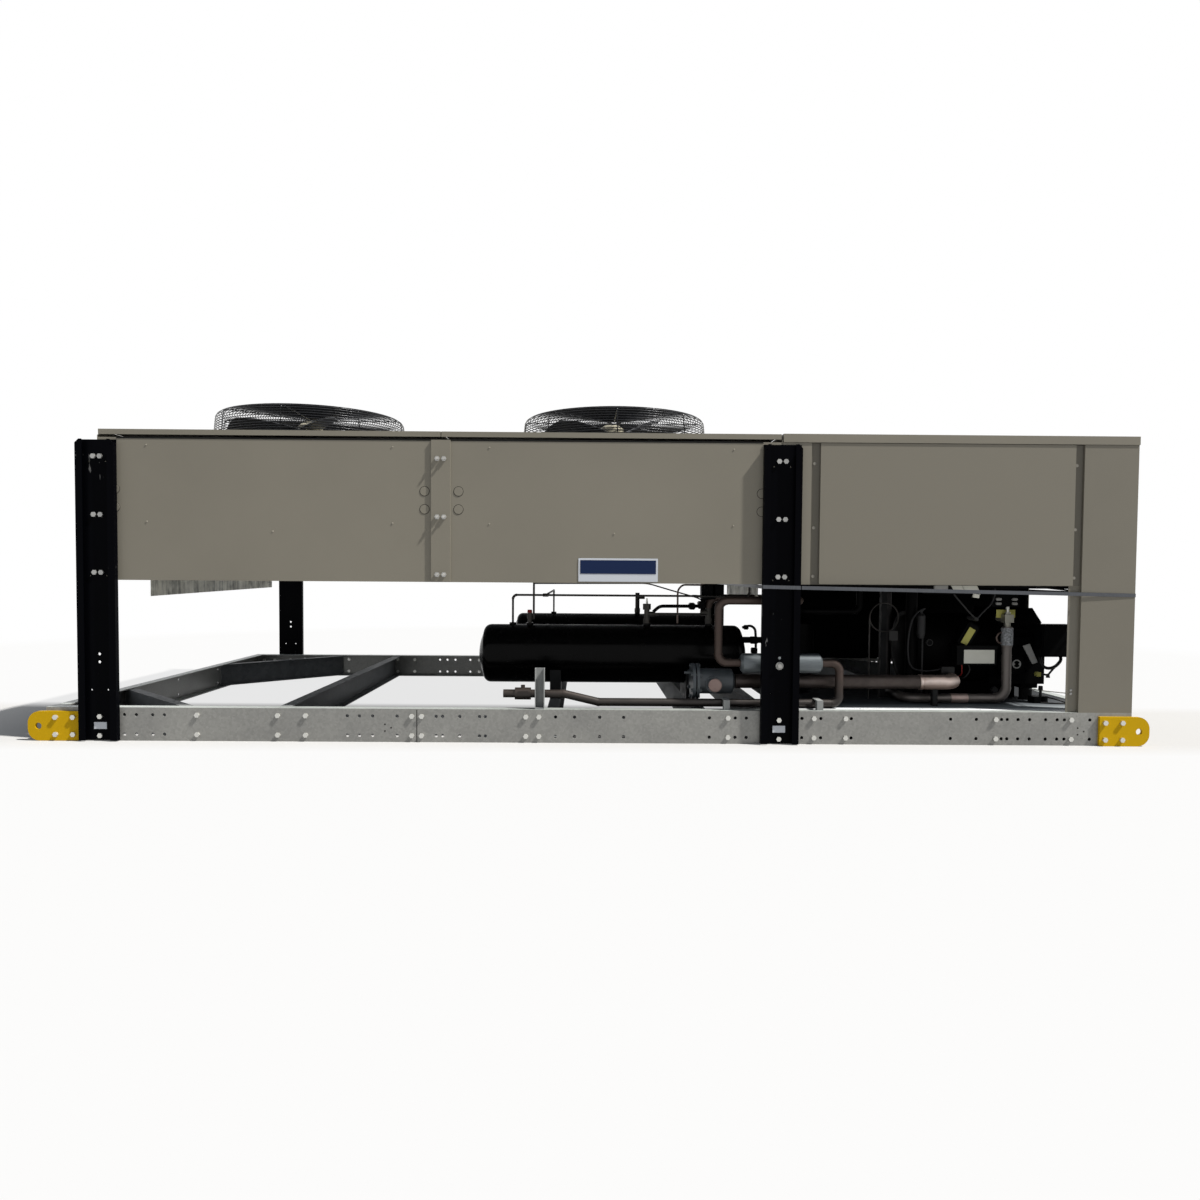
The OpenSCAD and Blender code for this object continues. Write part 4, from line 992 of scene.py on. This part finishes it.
def valve_lines():
    """Loops, leads and the rod about the discharge valve and the relay under it."""
    bay_tube("sleeve_loop", [
        (-24, 0, 324), (-44, -8, 318), (-54, -10, 300), (-46, -8, 280), (-24, 0, 273),
    ], 4, MATS["copper"], 0.012)
    bay_tube("switch_loop", [
        (168, 30, 216), (163, 14, 184), (180, 10, 163), (205, 10, 160), (232, 12, 170),
        (256, 14, 196), (262, 30, 216),
    ], 7, HOSE_BLACK)
    bay_tube("heater_lead", [
        (232, 12, 170), (216, 14, 152), (197, 14, 128), (180, 20, 133), (160, 30, 132),
    ], 4.5, HOSE_BLACK, 0.015)
    discs("heater_plug", [(bay(196, 10, 118), UP, 9, 18, 6)], HOSE_BLACK)
    bay_tube("relay_lead", [
        (208, 43, 25), (228, 3, 22), (273, -7, 8), (285, -7, 3.6), (229, -7, 3.6), (168, 13, 3.6),
    ], 3.5, HOSE_BLACK)
    rod = [(160, 143, 50), (190, 60, 53), (315, 43, 42), (408, -60, 40)]
    bay_tube("drain_rod", rod, 2.5, BRACKET_GREY, 0.03)
    knob = [(bay(182, 43, 30), UP, 6, 30, 6), (bay(182, 43, 58), UP, 10, 18, 9)]
    discs("relay_knob", knob, HOSE_BLACK)
    ceiling = [(16, -202, CEILING + 12), (60, -202, CEILING + 4), (163, -200, 518)]
    bay_tube("ceiling_lead", ceiling, 3.5, HOSE_BLACK)


def ceiling_boxes():
    """Small boxes screwed to the front edge of the control section's floor."""
    top = CEILING + 12
    grey_box = [(oblong(-417, -359, top - 19, top), -202, 10)]
    plates("ceiling_box_grey", grey_box, BRACKET_GREY, 1.5)
    plates("ceiling_box_white", [
        ([(-346, top), (-300, top), (-288, top - 25), (-328, top - 26)], -203, 11),
        ([(-297, top), (-236, top), (-224, top - 22), (-240, top - 26), (-286, top - 25)], -203, 11),
        (tilted(-238, top - 44, 28, 16, -8), -203, 8),
        (tilted(-226, top - 30, 5, 24, 30), -200, 3),
    ], LABEL_CREAM, 1.5)


def posts_hardware():
    """Round plug on the middle leg and a pair of bright bolts on the right post."""
    web = FRONT - 4 * MM
    plug_z = 0.331
    plug_depth = 0.0035
    bm = bmesh.new()
    add_disc(bm, (LEG_MID, web, plug_z), TO_FRONT, 0.017, plug_depth, 32, 0.0155)
    add_disc(bm, (LEG_MID, web - plug_depth, plug_z), TO_FRONT, 0.0095, 0.006, 6)
    recess = FRONT + 12 * MM
    for height in (0.234, 0.219):
        add_disc(bm, (VALVE[0] + 0.156, recess, height), TO_FRONT, 0.006, 0.004, 16, 0.004)
    mesh_piece("bright_plugs", bm, BRACKET_GREY)


def filter_stub():
    """Copper end on the filter's side stub."""
    shell = lo("suction_filter")
    stub = Vector((shell[0] + 74 * MM, shell[1], SUCTION_Z - 8 * MM))
    discs("stub_end", [(stub, TO_FRONT, 29.5, 2.5, 26.5)], STUB_COPPER)


def suction_elbow_skin():
    """Elbow and its brazed socket over the last stretch of the dull suction line, in copper with a
    painted sun highlight.
    """
    middle_y = lo("suction_line")[1] + SUCTION_R
    bend = 70 * MM
    bend_x = hi("suction_line")[0] - SUCTION_R - bend
    path = [Vector((bend_x - 0.10, middle_y, SUCTION_Z)), Vector((bend_x, middle_y, SUCTION_Z))]
    steps = 12
    for step in range(1, steps + 1):
        a = math.radians(90 * step / steps)
        x = bend_x + bend * math.sin(a)
        y = middle_y + bend * (1 - math.cos(a))
        path.append(Vector((x, y, SUCTION_Z)))
    socket = [Vector((bend_x - back, middle_y, SUCTION_Z)) for back in (0.104, 0.09)]
    bm = bmesh.new()
    add_sweep(bm, path, SUCTION_R + 0.6 * MM, ROUND_SIDES)
    add_sweep(bm, socket, SUCTION_R + 1.6 * MM, ROUND_SIDES)
    mesh_piece("suction_elbow_skin", bm, ELBOW_HIGHLIGHT_COPPER, smooth=True)


def discharge_skins():
    """Braided absorber on the discharge riser, and a stretch of the line low down in copper with a
    painted highlight.
    """
    bay_tube("braided_sleeve", [(0, 0, 266), (0, 0, 344)], 25.7, BRAID)
    stretch = [(-253, 0, 24), (-177, 0, 24)]
    bay_tube("discharge_highlight_stretch", stretch, 21.5, STRETCH_HIGHLIGHT_COPPER)


bay_labels()
bay_switches()
pump_badge()
sight_glasses()
compressor_skid()
solenoid()
barrel_leads()
gauge_hoses()
valve_lines()
ceiling_boxes()
posts_hardware()
filter_stub()
suction_elbow_skin()
discharge_skins()


# ---------------------------------------------------------------- receiver dressing
KING = centre_of("receiver_stem")
RECEIVER_TOP = hi("receiver_front")[2]


def near_king(dx, height):
    """A point dx mm to the right of the king valve, height mm above the shell, in the valve's plane."""
    return Vector((KING[0] + dx * MM, KING[1], RECEIVER_TOP + height * MM))


def king_tube(name, points, radius, mat, bend=0.02):
    """A line through points given as for near_king, its radius in mm."""
    return tube(name, [near_king(*p) for p in points], radius * MM, mat, bend=bend)


def receiver_lines():
    relief_x = lo("small_lines")[0] + 86 * MM
    relief = (relief_x, KING[1], RECEIVER_TOP + 46 * MM)
    discs("relief_cap", [(relief, UP, 12, 14, 10)], CAP_RED)
    sensor = [(-541, 185), (3, 189), (123, 154), (244, 121), (286, 95)]
    king_tube("sensor_lead", sensor, 3.2, HOSE_BLACK, 0.03)
    gauge = [(146, 0), (146, 158), (168, 183), (268, 183), (268, 193)]
    king_tube("gauge_line", gauge, 4.5, MATS["copper"])
    outlet = [(30, 53), (60, 81), (228, 82), (292, 84)]
    king_tube("king_outlet", outlet, 8, MATS["box_dark"])


def level_gauge():
    """Hose loop and its valves past the front receiver's right end."""
    start = (hi("receiver_front")[0] - KING[0]) / MM - 12
    ground = -RECEIVER_TOP / MM
    loop = [(0, 462), (40, 472), (62, 456), (66, 405), (66, 343), (40, 330), (-10, 332)]
    points = [(start + dx, ground + z) for dx, z in loop]
    king_tube("level_line", points, 6, HOSE_BLACK)
    bm = bmesh.new()
    for dx, z, half in ((56, 402, 17), (58, 352, 14), (18, 463, 11)):
        at = near_king(start + dx, ground + z)
        reach = Vector((half, half, half)) * MM
        add_box(bm, at - reach, at + reach, 0.003)
    bar_end = near_king(start + 104, ground + 416) + Vector((0, 0.028, 0))
    add_box(bm, near_king(start - 8, ground + 388), bar_end, 0.003)
    mesh_piece("level_valves", bm, MATS["box_dark"])


def line_solenoid():
    """Two coils on the liquid line and the valve bodies under them."""
    deep = 0.03
    bm = bmesh.new()
    for dx, z0, z1, half in ((290, 115, 183, 34), (330, 135, 183, 26), (214, 66, 98, 13),
                             (258, 70, 106, 15)):
        low = near_king(dx - half, z0) - Vector((0, deep, 0))
        high = near_king(dx + half, z1) + Vector((0, deep, 0))
        add_box(bm, low, high, 0.004)
    mesh_piece("line_solenoid", bm, MATS["box_dark"])


receiver_lines()
level_gauge()
line_solenoid()


# ---------------------------------------------------------------- stage, light and camera
SUN_TOWARD = Vector((0.57, -0.165, 0.79))
# the floor turns white, by NEAR_SHARE at most, over the first span of distances in y from
# SHADOW_Y, and wholly over the second span from the origin
SHADOW_Y = 0.42 - abs(FRONT)
WHITE_NEAR = (0.40, 0.62)
WHITE_FAR = (2.6, 7.0)
NEAR_SHARE = 0.78


def white_seen(tree):
    """1 for the rays that should see a white studio: camera, glossy and transmission rays."""
    path = tree.nodes.new("ShaderNodeLightPath")
    total = None
    for name in ("Is Camera Ray", "Is Glossy Ray", "Is Transmission Ray"):
        if total is None:
            total = path.outputs[name]
            continue
        either = tree.nodes.new("ShaderNodeMath")
        either.operation = "MAXIMUM"
        tree.links.new(total, either.inputs[0])
        tree.links.new(path.outputs[name], either.inputs[1])
        total = either.outputs["Value"]
    return total


def white_share(mat):
    """How far each place of the floor has turned white, for the rays that see it so."""
    coords = node(mat, "ShaderNodeTexCoord").outputs["Object"]
    split = node(mat, "ShaderNodeSeparateXYZ")
    link(mat, coords, split.inputs[0])
    offset = node(mat, "ShaderNodeMath", operation="SUBTRACT")
    offset.inputs[1].default_value = SHADOW_Y
    link(mat, split.outputs["Y"], offset.inputs[0])
    away = node(mat, "ShaderNodeMath", operation="ABSOLUTE")
    link(mat, offset.outputs["Value"], away.inputs[0])
    near = map_range(mat, away.outputs["Value"], *WHITE_NEAR, top=NEAR_SHARE)
    length = node(mat, "ShaderNodeVectorMath", operation="LENGTH")
    link(mat, coords, length.inputs[0])
    far = map_range(mat, length.outputs["Value"], *WHITE_FAR)
    white = combined(mat, "MAXIMUM", near, far)
    return combined(mat, "MULTIPLY", white, white_seen(mat.node_tree))


def floor_paint():
    mat = material("floor", grey(0.44), rough=0.9, spec=0.1)
    glow = node(mat, "ShaderNodeEmission")
    glow.inputs["Color"].default_value = (*WHITE, 1)
    mix = node(mat, "ShaderNodeMixShader")
    link(mat, white_share(mat), mix.inputs["Fac"])
    link(mat, shader_of(mat).outputs["BSDF"], mix.inputs[1])
    link(mat, glow.outputs["Emission"], mix.inputs[2])
    link(mat, mix.outputs["Shader"], mat.node_tree.nodes["Material Output"].inputs["Surface"])
    return mat


def floor():
    """Pale floor: its shadow stays, it turns to plain white further out."""
    bm = bmesh.new()
    bmesh.ops.create_grid(bm, x_segments=1, y_segments=1, size=40)
    mesh = bpy.data.meshes.new("floor")
    bm.to_mesh(mesh)
    bm.free()
    obj = bpy.data.objects.new("floor", mesh)
    obj.location = (0, 0, -0.5 * MM)
    bpy.context.collection.objects.link(obj)
    mesh.materials.append(floor_paint())


def world_light(colour, strength):
    """A soft sky that lights the object, seen as plain white."""
    world = bpy.data.worlds.new("studio")
    world.use_nodes = True
    bpy.context.scene.world = world
    tree = world.node_tree
    plain = tree.nodes["Background"]
    plain.inputs["Color"].default_value = (*colour, 1)
    plain.inputs["Strength"].default_value = strength
    white = tree.nodes.new("ShaderNodeBackground")
    white.inputs["Color"].default_value = (*WHITE, 1)
    mix = tree.nodes.new("ShaderNodeMixShader")
    tree.links.new(white_seen(tree), mix.inputs["Fac"])
    tree.links.new(plain.outputs["Background"], mix.inputs[1])
    tree.links.new(white.outputs["Background"], mix.inputs[2])
    tree.links.new(mix.outputs["Shader"], tree.nodes["World Output"].inputs["Surface"])


def sun(colour, energy, softness):
    """softness is the sun's angle in degrees."""
    data = bpy.data.lights.new("sun", "SUN")
    data.energy = energy
    data.color = colour
    data.angle = math.radians(softness)
    obj = bpy.data.objects.new("sun", data)
    obj.location = SUN_TOWARD * 8
    obj.rotation_euler = (-SUN_TOWARD).to_track_quat("-Z", "Y").to_euler()
    bpy.context.collection.objects.link(obj)


def camera():
    """Stands square in front of the long side, slightly above the deck."""
    data = bpy.data.cameras.new("camera")
    data.sensor_width = 36
    data.lens = 25.16
    data.shift_x = 0.0083
    data.shift_y = 0.0020
    data.clip_end = 200
    obj = bpy.data.objects.new("camera", data)
    obj.location = (-0.0377, -4.6563, 0.7172)
    tilt, roll, turn = (math.radians(angle) for angle in (90 - 2.024, -0.397, -0.438))
    obj.rotation_euler = Euler((tilt, roll, turn))
    bpy.context.collection.objects.link(obj)
    bpy.context.scene.camera = obj


floor()
world_light(colour=(0.86, 0.92, 1.0), strength=0.30)
sun(colour=(1.0, 0.97, 0.92), energy=6.9, softness=2)
camera()
bpy.context.scene.view_settings.view_transform = "Standard"
